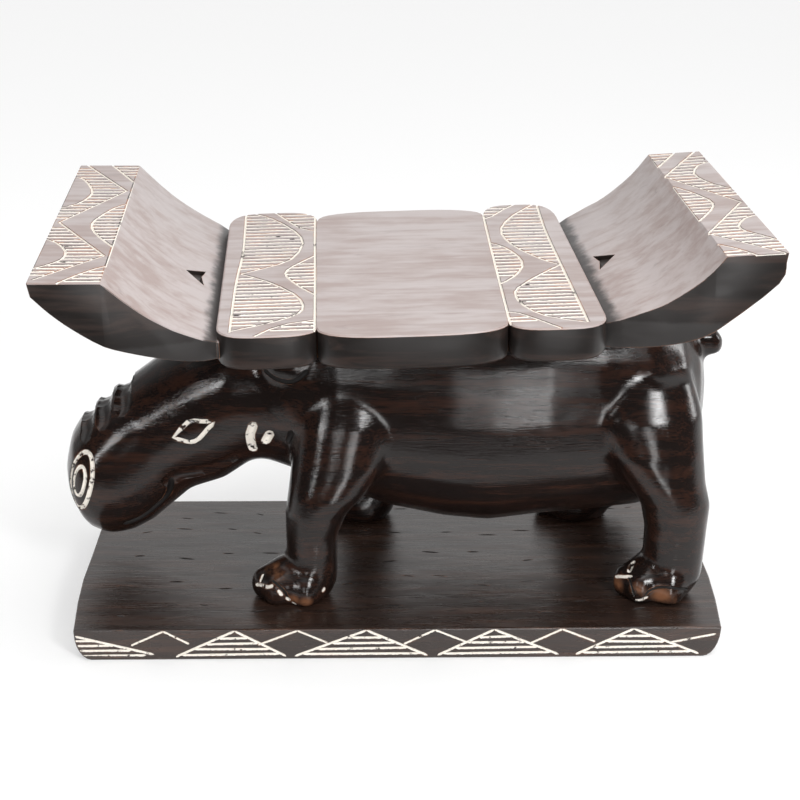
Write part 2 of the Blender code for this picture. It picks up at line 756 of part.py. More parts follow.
def loft(bm, rows, power):
    """Adds a closed body through the oval sections of a table."""
    rings = []
    for top_x, top_z, low_x, low_z, half_width, middle in rows:
        top = figure_point(top_x, middle, top_z)
        low = figure_point(low_x, middle, low_z)
        ring = []
        for step in range(ring_points):
            turn = 2 * math.pi * step / ring_points
            up = math.copysign(abs(math.cos(turn)) ** (2 / power), math.cos(turn))
            out = math.copysign(abs(math.sin(turn)) ** (2 / power), math.sin(turn))
            place = (top + low) / 2 + (top - low) / 2 * up
            place.y += half_width * figure_width * out
            ring.append(bm.verts.new(place))
        rings.append(ring)
    for a, b in zip(rings, rings[1:]):
        for i in range(ring_points):
            j = (i + 1) % ring_points
            bm.faces.new((a[i], a[j], b[j], b[i]))
    bm.faces.new(rings[0])
    bm.faces.new(rings[-1])


def mound(bm, place, size):
    """Adds an egg-shaped body of the given three sizes."""
    made = bmesh.ops.create_uvsphere(bm, u_segments=20, v_segments=12, radius=0.5)
    for vertex in made["verts"]:
        vertex.co = Vector(place) + Vector([vertex.co[i] * size[i] for i in range(3)])


def add_foot(bm, leg_rows):
    """Adds the pad and toes under a leg."""
    front_x, _, back_x, _, _, middle = leg_rows[0]
    side = math.copysign(1, middle)
    ankle = figure_point((front_x + back_x) / 2, middle, 0)
    pad = ankle + Vector((-foot_forward, 0, foot_height * foot_pad_rise_share))
    mound(bm, pad, (foot_length, foot_width, foot_height * foot_pad_share))
    for along, out, share in toe_share:
        forward = foot_forward - along * foot_length
        place = ankle + Vector((-forward, side * out * foot_width, foot_height * toe_rise_share))
        mound(bm, place, (toe_size * share, toe_size * share, foot_height * toe_height_share))


def figure_mesh():
    bm = bmesh.new()
    loft(bm, trunk_share, trunk_fullness)
    loft(bm, head_share, head_fullness)
    loft(bm, tail_share, tail_fullness)
    for rows in (near_front_leg_share, near_rear_leg_share, far_front_leg_share, far_rear_leg_share):
        loft(bm, rows, leg_fullness)
        add_foot(bm, rows)
    for side in (-1, 1):
        x, z, y = ear_place_share
        mound(bm, figure_point(x, side * y, z), (ear_length, ear_thickness, ear_height))
        x, z, y = brow_place_share
        mound(bm, figure_point(x, side * y, z), (brow_length, brow_thickness, brow_height))
    bmesh.ops.recalc_face_normals(bm, faces=bm.faces)
    mesh = bpy.data.meshes.new("figure")
    bm.to_mesh(mesh)
    bm.free()
    return mesh


def carve_skin(obj):
    """Runs the overlapping bodies into one skin with soft hollows, as carving does."""
    remesh = obj.modifiers.new("one skin", "REMESH")
    remesh.mode = "VOXEL"
    remesh.voxel_size = skin_voxel
    smooth = obj.modifiers.new("soft hollows", "SMOOTH")
    smooth.factor = 0.5
    smooth.iterations = skin_smoothing
    bake(obj)
    triangles = sum(len(face.vertices) - 2 for face in obj.data.polygons)
    decimate = obj.modifiers.new("fewer faces", "DECIMATE")
    decimate.ratio = min(1, skin_triangles / triangles)
    bake(obj)


def gouge_cutter(name, centres, radius, closed, cutters, roundness):
    """A bar along the given points, which cuts as a gouge of that radius, or a V with roundness 0."""
    curve = bpy.data.curves.new(name, "CURVE")
    curve.dimensions = "3D"
    curve.bevel_depth = radius
    curve.bevel_resolution = roundness
    curve.use_fill_caps = True
    spline = curve.splines.new("POLY")
    spline.points.add(len(centres) - 1)
    for point, centre in zip(spline.points, centres):
        point.co = (*centre, 1)
    spline.use_cyclic_u = closed
    guide = bpy.data.objects.new(name, curve)
    bpy.context.scene.collection.objects.link(guide)
    bpy.context.view_layer.update()
    mesh = bpy.data.meshes.new_from_object(guide.evaluated_get(bpy.context.evaluated_depsgraph_get()))
    bpy.data.objects.remove(guide, do_unlink=True)
    bm = bmesh.new()
    bm.from_mesh(mesh)
    bmesh.ops.remove_doubles(bm, verts=bm.verts, dist=radius / 1000)
    bmesh.ops.recalc_face_normals(bm, faces=bm.faces)
    bm.to_mesh(mesh)
    bm.free()
    return new_object(name, mesh, cutters)


def lifted(path, radius, depth, closed):
    """Centres of a gouge that cuts to the depth below a path on the skin, and leaves it at open ends."""
    centres = []
    for number, (place, normal) in enumerate(path):
        at_end = not closed and number in (0, len(path) - 1)
        centres.append(place + normal * (radius if at_end else radius - depth))
    return centres


def skin_point(skin, start, direction):
    place, normal, _, _ = skin.ray_cast(start, direction)
    return place, normal


def side_path(skin, table, side, closed):
    """A line given on the figure's side, laid on its skin."""
    points = [*table, table[0]] if closed else table
    steps = 1 if closed else line_steps
    path = []
    for x, z in smooth_through(points, steps):
        path.append(skin_point(skin, figure_point(x, side, z), Vector((0, -side, 0))))
    return path[:-1] if closed else path


def nostril_path(skin, side, size_share):
    x, z, y = nostril_place_share
    middle = figure_point(x, side * y, z)
    out = Vector((-math.cos(nostril_turn), side * math.sin(nostril_turn), 0))
    up = Vector((math.sin(nostril_lean), 0, math.cos(nostril_lean)))
    across = out.cross(up).normalized()
    path = []
    for step in range(nostril_points):
        turn = 2 * math.pi * step / nostril_points
        place = middle + up * (math.cos(turn) * size_share * nostril_height / 2)
        place += across * (math.sin(turn) * size_share * nostril_width / 2)
        path.append(skin_point(skin, place + out * figure_width, -out))
    return path


def fold_path(skin, fold):
    """Half a turn round the muzzle, from one side over the top to the other."""
    top_x, top_z, low_z = fold
    top = figure_point(top_x, 0, top_z)
    inside = figure_point(top_x, 0, low_z)
    path = []
    for step in range(fold_points + 1):
        turn = math.pi * (step / fold_points - 0.5)
        out = (top - inside).normalized() * math.cos(turn) + Vector((0, math.sin(turn), 0))
        path.append(skin_point(skin, inside + out * figure_width, -out))
    return path


def add_carving(figure, cutters):
    """Gouges the lines and hollows of the head."""
    skin = BVHTree.FromPolygons([v.co for v in figure.data.vertices],
                                [face.vertices for face in figure.data.polygons])
    cuts = [(fold_path(skin, fold), fold_radius, fold_depth, False) for fold in fold_share]
    for side in (-1, 1):
        lines = [(eye_line_share, line_radius, line_depth, True),
                 (mouth_line_share, mouth_radius, mouth_depth, False),
                 (jaw_line_share, jaw_radius, jaw_depth, False),
                 (ear_line_share, line_radius, line_depth, False)]
        lines += [(table, neck_radius, neck_depth, False) for table in neck_line_shares]
        for table, radius, depth, closed in lines:
            cuts.append((side_path(skin, table, side, closed), radius, depth, closed))
        for size_share in (1, nostril_inner_share):
            cuts.append((nostril_path(skin, side, size_share), line_radius, line_depth, True))
    for path, radius, depth, closed in cuts:
        roundness = 0 if radius == line_radius else 1
        centres = lifted(path, radius, depth, closed)
        cutter = gouge_cutter("gouge", centres, radius, closed, cutters, roundness)
        cut(figure, cutter)
    bake(figure)


def block(name, low, high, collection):
    bm = bmesh.new()
    bmesh.ops.create_cube(bm, size=1)
    for vertex in bm.verts:
        vertex.co = [low[i] + (high[i] - low[i]) * (vertex.co[i] + 0.5) for i in range(3)]
    mesh = bpy.data.meshes.new(name)
    bm.to_mesh(mesh)
    bm.free()
    return new_object(name, mesh, collection)


def trimmed(figure, cutters):
    """Cuts the back flat under the slab and the soles flat on the board."""
    reach = figure_length
    under_slab = -slab_thickness - glue_gap
    above = block("above the back", (-reach, -reach, under_slab), (reach, reach, reach), cutters)
    above.data.transform(seat_matrix())
    floor = board_thickness + glue_gap
    below = block("below the soles", (-reach, -reach, -reach), (reach, reach, floor), cutters)
    cut(figure, above)
    cut(figure, below)
    bake(figure)


def make_figure(parts, cutters, material):
    figure = new_object("hippopotamus", figure_mesh(), parts, material)
    carve_skin(figure)
    add_carving(figure, cutters)
    trimmed(figure, cutters)
    figure.data.materials.clear()
    figure.data.materials.append(material)
    return figure


# Dowels


def dowel_mesh(name, radius, low, high, matrix):
    bm = bmesh.new()
    bmesh.ops.create_cone(bm, cap_ends=True, segments=dowel_facets, radius1=radius, radius2=radius,
                          depth=high - low)
    bmesh.ops.translate(bm, verts=bm.verts, vec=(0, 0, (low + high) / 2))
    bmesh.ops.transform(bm, verts=bm.verts, matrix=matrix)
    mesh = bpy.data.meshes.new(name)
    bm.to_mesh(mesh)
    bm.free()
    return mesh


def add_dowel(name, radius, depth_low, depth_high, matrix, lower, upper, parts, cutters, material):
    """A dowel across the face where lower meets upper, with a glued hole a little larger than itself."""
    dowel = new_object(name, dowel_mesh(name, radius, -depth_low, depth_high, matrix), parts, material)
    hole_mesh = dowel_mesh("hole", radius + glue_gap, -depth_low - glue_gap, depth_high + glue_gap, matrix)
    hole = new_object("hole", hole_mesh, cutters)
    cut(lower, hole)
    cut(upper, hole)
    return dowel


def add_foot_dowels(board, figure, parts, cutters, material):
    legs = {
        "dowel_near_front": near_front_leg_share,
        "dowel_near_rear": near_rear_leg_share,
        "dowel_far_front": far_front_leg_share,
        "dowel_far_rear": far_rear_leg_share,
    }
    for name, rows in legs.items():
        front_x, _, back_x, _, _, middle = rows[0]
        place = figure_point((front_x + back_x) / 2, middle, 0)
        place.z = board_thickness
        add_dowel(name, foot_dowel_radius, board_thickness - board_left_under_dowel, foot_dowel_in_leg,
                  Matrix.Translation(place), board, figure, parts, cutters, material)


def add_back_dowels(figure, seat, parts, cutters, material):
    places = (("dowel_shoulder", -left_join_front), ("dowel_back", 0), ("dowel_hip", right_join_front))
    for name, along in places:
        place = Vector((along, figure_shift_back, -slab_thickness))
        matrix = seat_matrix() @ Matrix.Translation(place)
        add_dowel(name, back_dowel_radius, back_dowel_in_back, slab_thickness - slab_left_over_dowel,
                  matrix, figure, seat, parts, cutters, material)


def centre_on_origin(objects):
    """Moves the finished part so that the middle of its box's underside is the origin."""
    points = [vertex.co for obj in objects for vertex in obj.data.vertices]
    low = Vector([min(p[i] for p in points) for i in range(3)])
    high = Vector([max(p[i] for p in points) for i in range(3)])
    shift = Vector((-(low.x + high.x) / 2, -(low.y + high.y) / 2, -low.z))
    for obj in objects:
        obj.data.transform(Matrix.Translation(shift))


def build():
    clear_scene()
    parts = new_collection("accent_stool")
    cutters = new_collection("cutters")
    cutters.hide_render = True
    board = make_board(parts, wood("board wood", board_colour, finish_roughness))
    bake(board)
    figure = make_figure(parts, cutters, wood("figure wood", figure_colour, finish_roughness))
    seat = make_seat(parts, cutters, wood("seat wood", seat_colour, finish_roughness))
    dowel_wood = wood("dowel wood", dowel_colour, finish_roughness)
    add_foot_dowels(board, figure, parts, cutters, dowel_wood)
    add_back_dowels(figure, seat, parts, cutters, dowel_wood)
    for obj in (board, figure, seat):
        bake(obj)
    centre_on_origin(list(parts.objects))
    for obj in parts.objects:
        smooth_shading(obj.data)


build()
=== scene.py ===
"""Looks of the accent stool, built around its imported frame."""

import math
import random

import bmesh
import bpy
from mathutils import Matrix, Vector
from mathutils.bvhtree import BVHTree


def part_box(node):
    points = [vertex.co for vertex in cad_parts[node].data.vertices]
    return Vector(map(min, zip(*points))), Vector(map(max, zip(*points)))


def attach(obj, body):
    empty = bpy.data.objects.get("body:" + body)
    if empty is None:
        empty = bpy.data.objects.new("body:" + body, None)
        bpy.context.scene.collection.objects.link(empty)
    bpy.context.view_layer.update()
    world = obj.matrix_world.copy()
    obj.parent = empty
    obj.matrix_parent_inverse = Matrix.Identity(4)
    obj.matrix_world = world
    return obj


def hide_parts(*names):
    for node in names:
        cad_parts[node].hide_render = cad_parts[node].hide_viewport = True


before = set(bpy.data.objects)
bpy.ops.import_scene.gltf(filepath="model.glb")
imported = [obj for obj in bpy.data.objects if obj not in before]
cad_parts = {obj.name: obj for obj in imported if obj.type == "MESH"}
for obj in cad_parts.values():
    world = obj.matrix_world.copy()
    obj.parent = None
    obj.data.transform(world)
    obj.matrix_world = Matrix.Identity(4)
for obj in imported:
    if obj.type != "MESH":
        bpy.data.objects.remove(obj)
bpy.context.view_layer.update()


# Board
# A plinth planed from the same dark hardwood as the rest, stained black-brown and waxed.
# Its long faces are chip-cut with hatched triangles, and white pigment is rubbed into the cuts.

board_low, board_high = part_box("board")
millimetres = 1000
weld = 0.00001
wall_reach = 0.00003

# Cuts of the long faces: places along the board, heights above the ground, and sizes.
cut_width = 0.0023
cut_depth = 0.0011
fine_cut = 0.85
pattern_top = board_high.z - 0.0012
pattern_low = 0.0022
triangle_apexes = (-0.1079, -0.0214, 0.0629, 0.1554)
triangle_feet = ((-0.1467, -0.0744), (-0.0685, 0.0190), (0.0258, 0.1064), (0.1177, 0.2000))
triangle_rows = (0.0158, 0.0117, 0.0077, 0.0037)
row_setback = 0.001
row_lift = 0.0004
small_peaks = (-0.1545, -0.0667, 0.0237, 0.1079)
small_peak_left = 0.55
small_peak_right = 0.5
end_line = (-0.2125, 0.0180, -0.1610, 0.0040)
end_rows = ((0.0143, -0.1990), (0.0107, -0.1870), (0.0070, -0.1760), (0.0033, -0.1660))
end_rows_start = -0.2120
end_rows_slant = 0.3
end_row_lift = 0.0002
right_mark = (0.1790, 0.0105, 0.2105, 0.0170)

# Chisel nicks on the board's top: along the board first, then across it.
nick_columns = 13
nick_rows = 5
first_nick = (-0.185, -0.072)
nick_spacing = (0.031, 0.037)
nick_stray = (0.008, 0.010)
nick_reach = (0.003, 0.007)
nick_lean = 0.0015
nick_width = (0.0012, 0.0022)
nick_depth = 0.0005

pigment_colour = (0.84, 0.79, 0.72, 1)
worn_colour = (0.30, 0.13, 0.065, 1)
# Painted shade in the cuts that hold no pigment, darker the deeper the cut.
cut_shade_colour = (0.006, 0.004, 0.0035, 1)
board_dark = (0.022, 0.013, 0.010, 1)
board_warm = (0.055, 0.028, 0.019, 1)
hand = random.Random(7)


def deselect_all():
    bpy.ops.object.select_all(action="DESELECT")


def take(piece):
    """Selects the piece alone and makes it active."""
    deselect_all()
    piece.select_set(True)
    bpy.context.view_layer.objects.active = piece


def whole_copy(node_name, name):
    """A copy of a CAD node's mesh, merged into one skin of flat faces."""
    piece = bpy.data.objects.new(name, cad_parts[node_name].data.copy())
    bpy.context.scene.collection.objects.link(piece)
    piece.data.materials.clear()
    take(piece)
    bpy.ops.object.mode_set(mode="EDIT")
    bpy.ops.mesh.select_all(action="SELECT")
    bpy.ops.mesh.customdata_custom_splitnormals_clear()
    bpy.ops.mesh.remove_doubles(threshold=weld)
    bpy.ops.object.mode_set(mode="OBJECT")
    return piece


def flat_faces_joined(piece, angle):
    take(piece)
    bpy.ops.object.mode_set(mode="EDIT")
    bpy.ops.mesh.select_all(action="SELECT")
    bpy.ops.mesh.dissolve_limited(angle_limit=angle)
    bpy.ops.object.mode_set(mode="OBJECT")


def chisel_stroke(point, blunt):
    """One cut as a bar of unit size: four-sided, with both ends drawn in."""
    deselect_all()
    bpy.ops.mesh.primitive_cylinder_add(vertices=4, radius=0.5, depth=1 - 2 * point,
                                        rotation=(0, math.radians(90), 0))
    bar = bpy.context.object
    bpy.ops.object.transform_apply(location=True, rotation=True, scale=True)
    for side in (-1, 1):
        bpy.ops.object.mode_set(mode="EDIT")
        bpy.ops.mesh.select_all(action="DESELECT")
        bpy.ops.object.mode_set(mode="OBJECT")
        for face in bar.data.polygons:
            face.select = face.normal.x * side > 0.9
        bpy.ops.object.mode_set(mode="EDIT")
        bpy.ops.mesh.extrude_region_move(TRANSFORM_OT_translate={"value": (side * point, 0, 0)})
        bpy.ops.transform.resize(value=(1, blunt, blunt), center_override=(side * 0.5, 0, 0))
        bpy.ops.object.mode_set(mode="OBJECT")
    bar.users_collection[0].objects.unlink(bar)
    return bar


def joined(name, bodies):
    """One mesh object from pairs of a mesh and its placing matrix."""
    bm = bmesh.new()
    for mesh, matrix in bodies:
        before = len(bm.verts)
        bm.from_mesh(mesh)
        bm.verts.ensure_lookup_table()
        bmesh.ops.transform(bm, matrix=matrix, verts=bm.verts[before:])
    bmesh.ops.recalc_face_normals(bm, faces=bm.faces)
    mesh = bpy.data.meshes.new(name)
    bm.to_mesh(mesh)
    bm.free()
    piece = bpy.data.objects.new(name, mesh)
    bpy.context.scene.collection.objects.link(piece)
    return piece


def stroke_place(start, end, out, width, depth):
    """Placing matrix of a stroke from start to end on a face that looks along out."""
    start, end, out = Vector(start), Vector(end), Vector(out).normalized()
    along = end - start
    across = out.cross(along).normalized()
    up = along.normalized().cross(across)
    turn = Matrix((along.normalized(), across, up)).transposed().to_4x4()
    size = Matrix.Diagonal((along.length, width, 2 * depth, 1))
    return Matrix.Translation((start + end) / 2) @ turn @ size


def skin_of(piece):
    """A search tree of the piece's faces as they are now."""
    return BVHTree.FromPolygons([v.co for v in piece.data.vertices],
                                [face.vertices for face in piece.data.polygons])


def carve(piece, cutter, solver="EXACT"):
    """Cuts the cutter's form out of the piece, and gives the skin of the cut."""
    wall = skin_of(cutter)
    boolean = piece.modifiers.new("carve", "BOOLEAN")
    boolean.solver = solver
    boolean.object = cutter
    take(piece)
    bpy.ops.object.modifier_apply(modifier=boolean.name)
    bpy.data.objects.remove(cutter)
    return wall


def mark_cuts(piece, name, walls, depth_of):
    """Stores how deep each corner of the cuts' faces lies, in millimetres. Other faces have 0."""
    values = piece.data.attributes.new(name, "FLOAT", "CORNER").data
    depths = {vertex.index: depth_of(vertex.co) * millimetres for vertex in piece.data.vertices
              if any(wall.find_nearest(vertex.co, wall_reach)[0] for wall in walls)}
    for face in piece.data.polygons:
        if all(v in depths for v in face.vertices):
            for corner, v in zip(face.loop_indices, face.vertices):
                values[corner].value = depths[v]


def finish_wood(piece, material, degrees):
    """Gives the whole piece one material, and shades it smooth but for its sharper edges."""
    piece.data.materials.clear()
    piece.data.materials.append(material)
    for face in piece.data.polygons:
        face.material_index = 0
    take(piece)
    bpy.ops.object.shade_smooth_by_angle(angle=math.radians(degrees))


def node(tree, kind, inputs=(), **settings):
    """Adds a shader node, with its settings and its inputs by name or number."""
    made = tree.nodes.new(kind)
    for name, value in settings.items():
        setattr(made, name, value)
    for name, value in dict(inputs).items():
        if isinstance(value, bpy.types.NodeSocket):
            tree.links.new(value, made.inputs[name])
        else:
            made.inputs[name].default_value = value
    return made


def maths(tree, operation, *values):
    made = node(tree, "ShaderNodeMath", enumerate(values), operation=operation)
    return made.outputs[0]


def blend_colour(tree, share, a, b):
    made = node(tree, "ShaderNodeMix", {0: share, 6: a, 7: b}, data_type="RGBA")
    return made.outputs[2]


def between(tree, value, low, high):
    """Runs smoothly from 0 at low to 1 at high."""
    made = node(tree, "ShaderNodeMapRange", {"Value": value, "From Min": low, "From Max": high},
                interpolation_type="SMOOTHSTEP")
    return made.outputs["Result"]


def grain(tree, scale, stretch, detail=4.0, roughness=0.6, distortion=0.0):
    """Noise on Object coordinates, drawn out along the wood's grain."""
    place = node(tree, "ShaderNodeTexCoord").outputs["Object"]
    along = node(tree, "ShaderNodeMapping", {"Vector": place, "Scale": stretch}).outputs[0]
    made = node(tree, "ShaderNodeTexNoise", {"Vector": along, "Scale": scale, "Detail": detail,
                                             "Roughness": roughness, "Distortion": distortion})
    return made.outputs["Fac"]


def polish(tree, scale, stretch, glossy, dull):
    """Roughness that drifts between glossy and dull along the grain."""
    patches = grain(tree, scale, stretch, detail=5.0)
    made = node(tree, "ShaderNodeMapRange", {"Value": patches, "From Min": 0.3, "From Max": 0.7,
                                             "To Min": glossy, "To Max": dull})
    return made.outputs["Result"]


def add_relief(tree, shader, height, distance):
    """Fine relief of the surface, in metres at most."""
    bumped = node(tree, "ShaderNodeBump", {"Strength": 1.0, "Distance": distance, "Height": height})
    tree.links.new(bumped.outputs[0], shader.inputs["Normal"])


def stored(tree, name):
    """Reads an attribute that the mesh carries."""
    return node(tree, "ShaderNodeAttribute", attribute_name=name).outputs["Fac"]


def edge_wear(tree, radius, patches, low, high):
    """Share of worn wood: along the edges, where the patches allow it."""
    here = node(tree, "ShaderNodeNewGeometry").outputs["True Normal"]
    soft = node(tree, "ShaderNodeBevel", {"Radius": radius}, samples=6).outputs[0]
    same = node(tree, "ShaderNodeVectorMath", {0: here, 1: soft}, operation="DOT_PRODUCT").outputs["Value"]
    return maths(tree, "MULTIPLY", between(tree, same, 0.97, 0.82), between(tree, patches, low, high))


def ragged_depth(tree, name, amount):
    """Depth of a cut, with a ragged limit as rubbed-in pigment has."""
    depth = stored(tree, name)
    noise = maths(tree, "SUBTRACT", grain(tree, 420.0, (1, 1, 1), detail=3.0), 0.5)
    near = maths(tree, "MINIMUM", maths(tree, "MULTIPLY", depth, 5.0), amount)
    return maths(tree, "ADD", depth, maths(tree, "MULTIPLY", noise, near))


def wood(name):
    """A new material, with its tree and its shader."""
    material = bpy.data.materials.new(name)
    material.use_nodes = True
    return material, material.node_tree, material.node_tree.nodes["Principled BSDF"]


def stained_wood(name, dark, warm, sheen, shine, bump, wear, gaps):
    """Dark stained wood with warm streaks, worn edges, white pigment in its cuts and painted shade in its
    other cuts.

    The sheen is the least and most roughness, and the shine the strength of the reflections. Wear and
    gaps say where in the noise the bare edges and the gaps in the pigment begin and are complete.
    """
    material, tree, shader = wood(name)
    streaks = grain(tree, 9.0, (1, 14, 14), detail=6.0, distortion=0.4)
    fine = grain(tree, 60.0, (1, 16, 16), detail=5.0)
    patches = grain(tree, 45.0, (1, 1, 1), detail=5.0)
    warmth = between(tree, maths(tree, "ADD", maths(tree, "MULTIPLY", streaks, 0.6),
                                 maths(tree, "MULTIPLY", fine, 0.4)), 0.44, 0.64)
    colour = blend_colour(tree, warmth, dark, warm)
    worn = edge_wear(tree, 0.0013, patches, *wear)
    rubbed = maths(tree, "MULTIPLY", stored(tree, "rubbed"), between(tree, patches, 0.44, 0.66))
    colour = blend_colour(tree, maths(tree, "MAXIMUM", worn, rubbed), colour, worn_colour)
    # Painted shade in the cuts without pigment, growing with their depth.
    recess_shade = between(tree, ragged_depth(tree, "dark_cut", 0.2), 0.05, 0.25)
    colour = blend_colour(tree, recess_shade, colour, cut_shade_colour)
    filled = maths(tree, "MULTIPLY", between(tree, ragged_depth(tree, "white_cut", 0.7), 0.22, 0.42),
                   between(tree, grain(tree, 210.0, (1, 1, 1), detail=4.0), *gaps))
    colour = blend_colour(tree, filled, colour, pigment_colour)
    tree.links.new(colour, shader.inputs["Base Color"])
    rough = polish(tree, 25.0, (1, 6, 6), *sheen)
    rough = maths(tree, "MAXIMUM", rough, maths(tree, "MULTIPLY", filled, 0.85))
    rough = maths(tree, "MAXIMUM", rough, maths(tree, "MULTIPLY", recess_shade, 0.6))
    tree.links.new(rough, shader.inputs["Roughness"])
    shader.inputs["Specular IOR Level"].default_value = shine
    facets = grain(tree, 26.0, (0.8, 1.4, 1.4), detail=2.0)
    add_relief(tree, shader, maths(tree, "ADD", facets, maths(tree, "MULTIPLY", fine, 0.30)), bump)
    return material


def board_strokes(face_y, out):
    """Places of the strokes on one long face: triangles, their rows, the small peaks and the ends."""
    drop = pattern_top - pattern_low
    legs, rows, ends = [], [], []

    def place(x0, z0, x1, z1, size=1.0):
        return stroke_place((x0, face_y, z0), (x1, face_y, z1), (0, out, 0), cut_width * size, cut_depth)

    for apex, (left, right), small in zip(triangle_apexes, triangle_feet, small_peaks):
        for group, foot, share in ((legs, left, small_peak_left), (ends, right, small_peak_right)):
            group.append(place(apex, pattern_top, foot, pattern_low))
            group.append(place(small, pattern_top, small + (foot - apex) * share, pattern_top - drop * share,
                               fine_cut))
        for z in triangle_rows:
            share = (pattern_top - z) / drop
            x0 = apex + (left - apex) * share + row_setback
            x1 = apex + (right - apex) * share - row_setback
            lift = hand.uniform(-row_lift, row_lift)
            rows.append(place(x0, z + lift, x1, z - lift))
    ends.append(place(*end_line))
    for z, x1 in end_rows:
        x0 = end_rows_start + (end_rows[0][0] - z) * end_rows_slant
        rows.append(place(x0, z, x1, z + end_row_lift))
    legs.append(place(*right_mark, fine_cut))
    return legs, ends, rows


def chisel_marks():
    """Places of the short shallow marks that the chisel left on the board's top."""
    places = []
    for column in range(nick_columns):
        for row in range(nick_rows):
            x = first_nick[0] + column * nick_spacing[0] + hand.uniform(-nick_stray[0], nick_stray[0])
            y = first_nick[1] + row * nick_spacing[1] + hand.uniform(-nick_stray[1], nick_stray[1])
            reach = hand.uniform(*nick_reach)
            lean = hand.uniform(-nick_lean, nick_lean)
            start = (x - reach, y - lean, board_high.z)
            end = (x + reach, y + lean, board_high.z)
            places.append(stroke_place(start, end, (0, 0, 1), hand.uniform(*nick_width), nick_depth))
    return places


stroke = chisel_stroke(point=0.035, blunt=0.45)
nick = chisel_stroke(point=0.30, blunt=0.15)

board = whole_copy("board", "board_carved")
flat_faces_joined(board, angle=math.radians(0.3))
board_skin = skin_of(board)
pattern_walls = []
for face_y, out in ((board_low.y, -1), (board_high.y, 1)):
    for number, places in enumerate(board_strokes(face_y, out)):
        cutter = joined(f"cuts_{number}", [(stroke.data, place) for place in places])
        pattern_walls.append(carve(board, cutter))
mark_walls = [carve(board, joined("chisel_marks", [(nick.data, place) for place in chisel_marks()]))]


def below_board_skin(place):
    return (board_skin.find_nearest(place)[0] - place).length


mark_cuts(board, "white_cut", pattern_walls, below_board_skin)
mark_cuts(board, "dark_cut", mark_walls, below_board_skin)
board_stain = stained_wood("board stain", board_dark, board_warm, sheen=(0.20, 0.36), shine=0.7, bump=0.0006,
                           wear=(0.45, 0.62), gaps=(0.32, 0.40))
finish_wood(board, board_stain, degrees=12)
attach(board, "root")
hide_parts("board")


# Foot dowels
# Four plain hardwood rods, glued into the board and up into the soles of the feet.
# They are the CAD's own dowels and lie hidden in the wood.

rod_light = (0.36, 0.22, 0.12, 1)
rod_dark = (0.24, 0.13, 0.07, 1)
rod_roughness = 0.6
rod_relief = 0.0001


def plain_rod_wood():
    material, tree, shader = wood("rod wood")
    fibres = grain(tree, 90.0, (14, 14, 1), detail=4.0)
    tree.links.new(blend_colour(tree, fibres, rod_dark, rod_light), shader.inputs["Base Color"])
    shader.inputs["Roughness"].default_value = rod_roughness
    add_relief(tree, shader, fibres, rod_relief)
    return material


rod_wood = plain_rod_wood()


def finish_dowel(name):
    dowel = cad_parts[name]
    dowel.data.materials.clear()
    dowel.data.materials.append(rod_wood)


for name in ("dowel_near_front", "dowel_near_rear", "dowel_far_front", "dowel_far_rear"):
    finish_dowel(name)


# Hippopotamus
# One carved block: trunk, head, legs, tail and ears. It is stained nearly black and polished
# to a gloss, and white pigment lies in the gouged lines of the eyes, nostrils, neck and toes.

figure_start = Vector((-0.22462, 0.01267, 0.0227))
figure_size = Vector((0.448, 0.140, 0.1953))
figure_dark = (0.0105, 0.0072, 0.0064, 1)
figure_warm = (0.034, 0.015, 0.010, 1)
skin_voxel = 0.0016
skin_rounds = 12

# Lines on the sides: shares of the figure's length, from the muzzle, and of its height.
eye_line = ((0.166, 0.540), (0.189, 0.601), (0.209, 0.607), (0.227, 0.606), (0.218, 0.580),
            (0.205, 0.542), (0.193, 0.527), (0.180, 0.532))
mouth_line = ((0.085, 0.195), (0.110, 0.211), (0.138, 0.262), (0.154, 0.310), (0.161, 0.385))
jaw_line = ((0.150, 0.36), (0.172, 0.39), (0.205, 0.405), (0.238, 0.44), (0.262, 0.48))
ear_line = ((0.303, 0.805), (0.322, 0.779), (0.340, 0.771), (0.354, 0.783), (0.367, 0.812))
neck_lines = (((0.288, 0.610), (0.281, 0.553), (0.286, 0.485)), ((0.313, 0.578), (0.302, 0.525)))
last_neck_line = ((0.344, 0.590), (0.338, 0.540))
# Folds over the muzzle: shares of the length, of the height on top, and of the height inside.
muzzle_folds = ((0.088, 0.672, 0.60), (0.058, 0.622, 0.55), (0.031, 0.572, 0.50))
muzzle_steps = 24
nostril_middle = (0.019, 0.26, 0.365)
nostril_height = 0.042
nostril_width = 0.019
nostril_outward = math.radians(47)
nostril_lean = math.radians(12)
nostril_steps = 24
nostril_rings = ((1, 0.0019), (0.52, 0.0016))
nostril_depth_share = 0.8

# Radius and depth of the gouge for each kind of line.
fold_gouge = (0.0090, 0.0026)
jaw_gouge = (0.0100, 0.0021)
mouth_gouge = (0.0025, 0.0021)
ear_gouge = (0.0020, 0.0018)
last_neck_gouge = (0.0024, 0.0016)
crease_gouge = (0.0011, 0.0009)
eye_gouge = (0.0018, 0.0014)
neck_gouge = (0.0034, 0.0021)

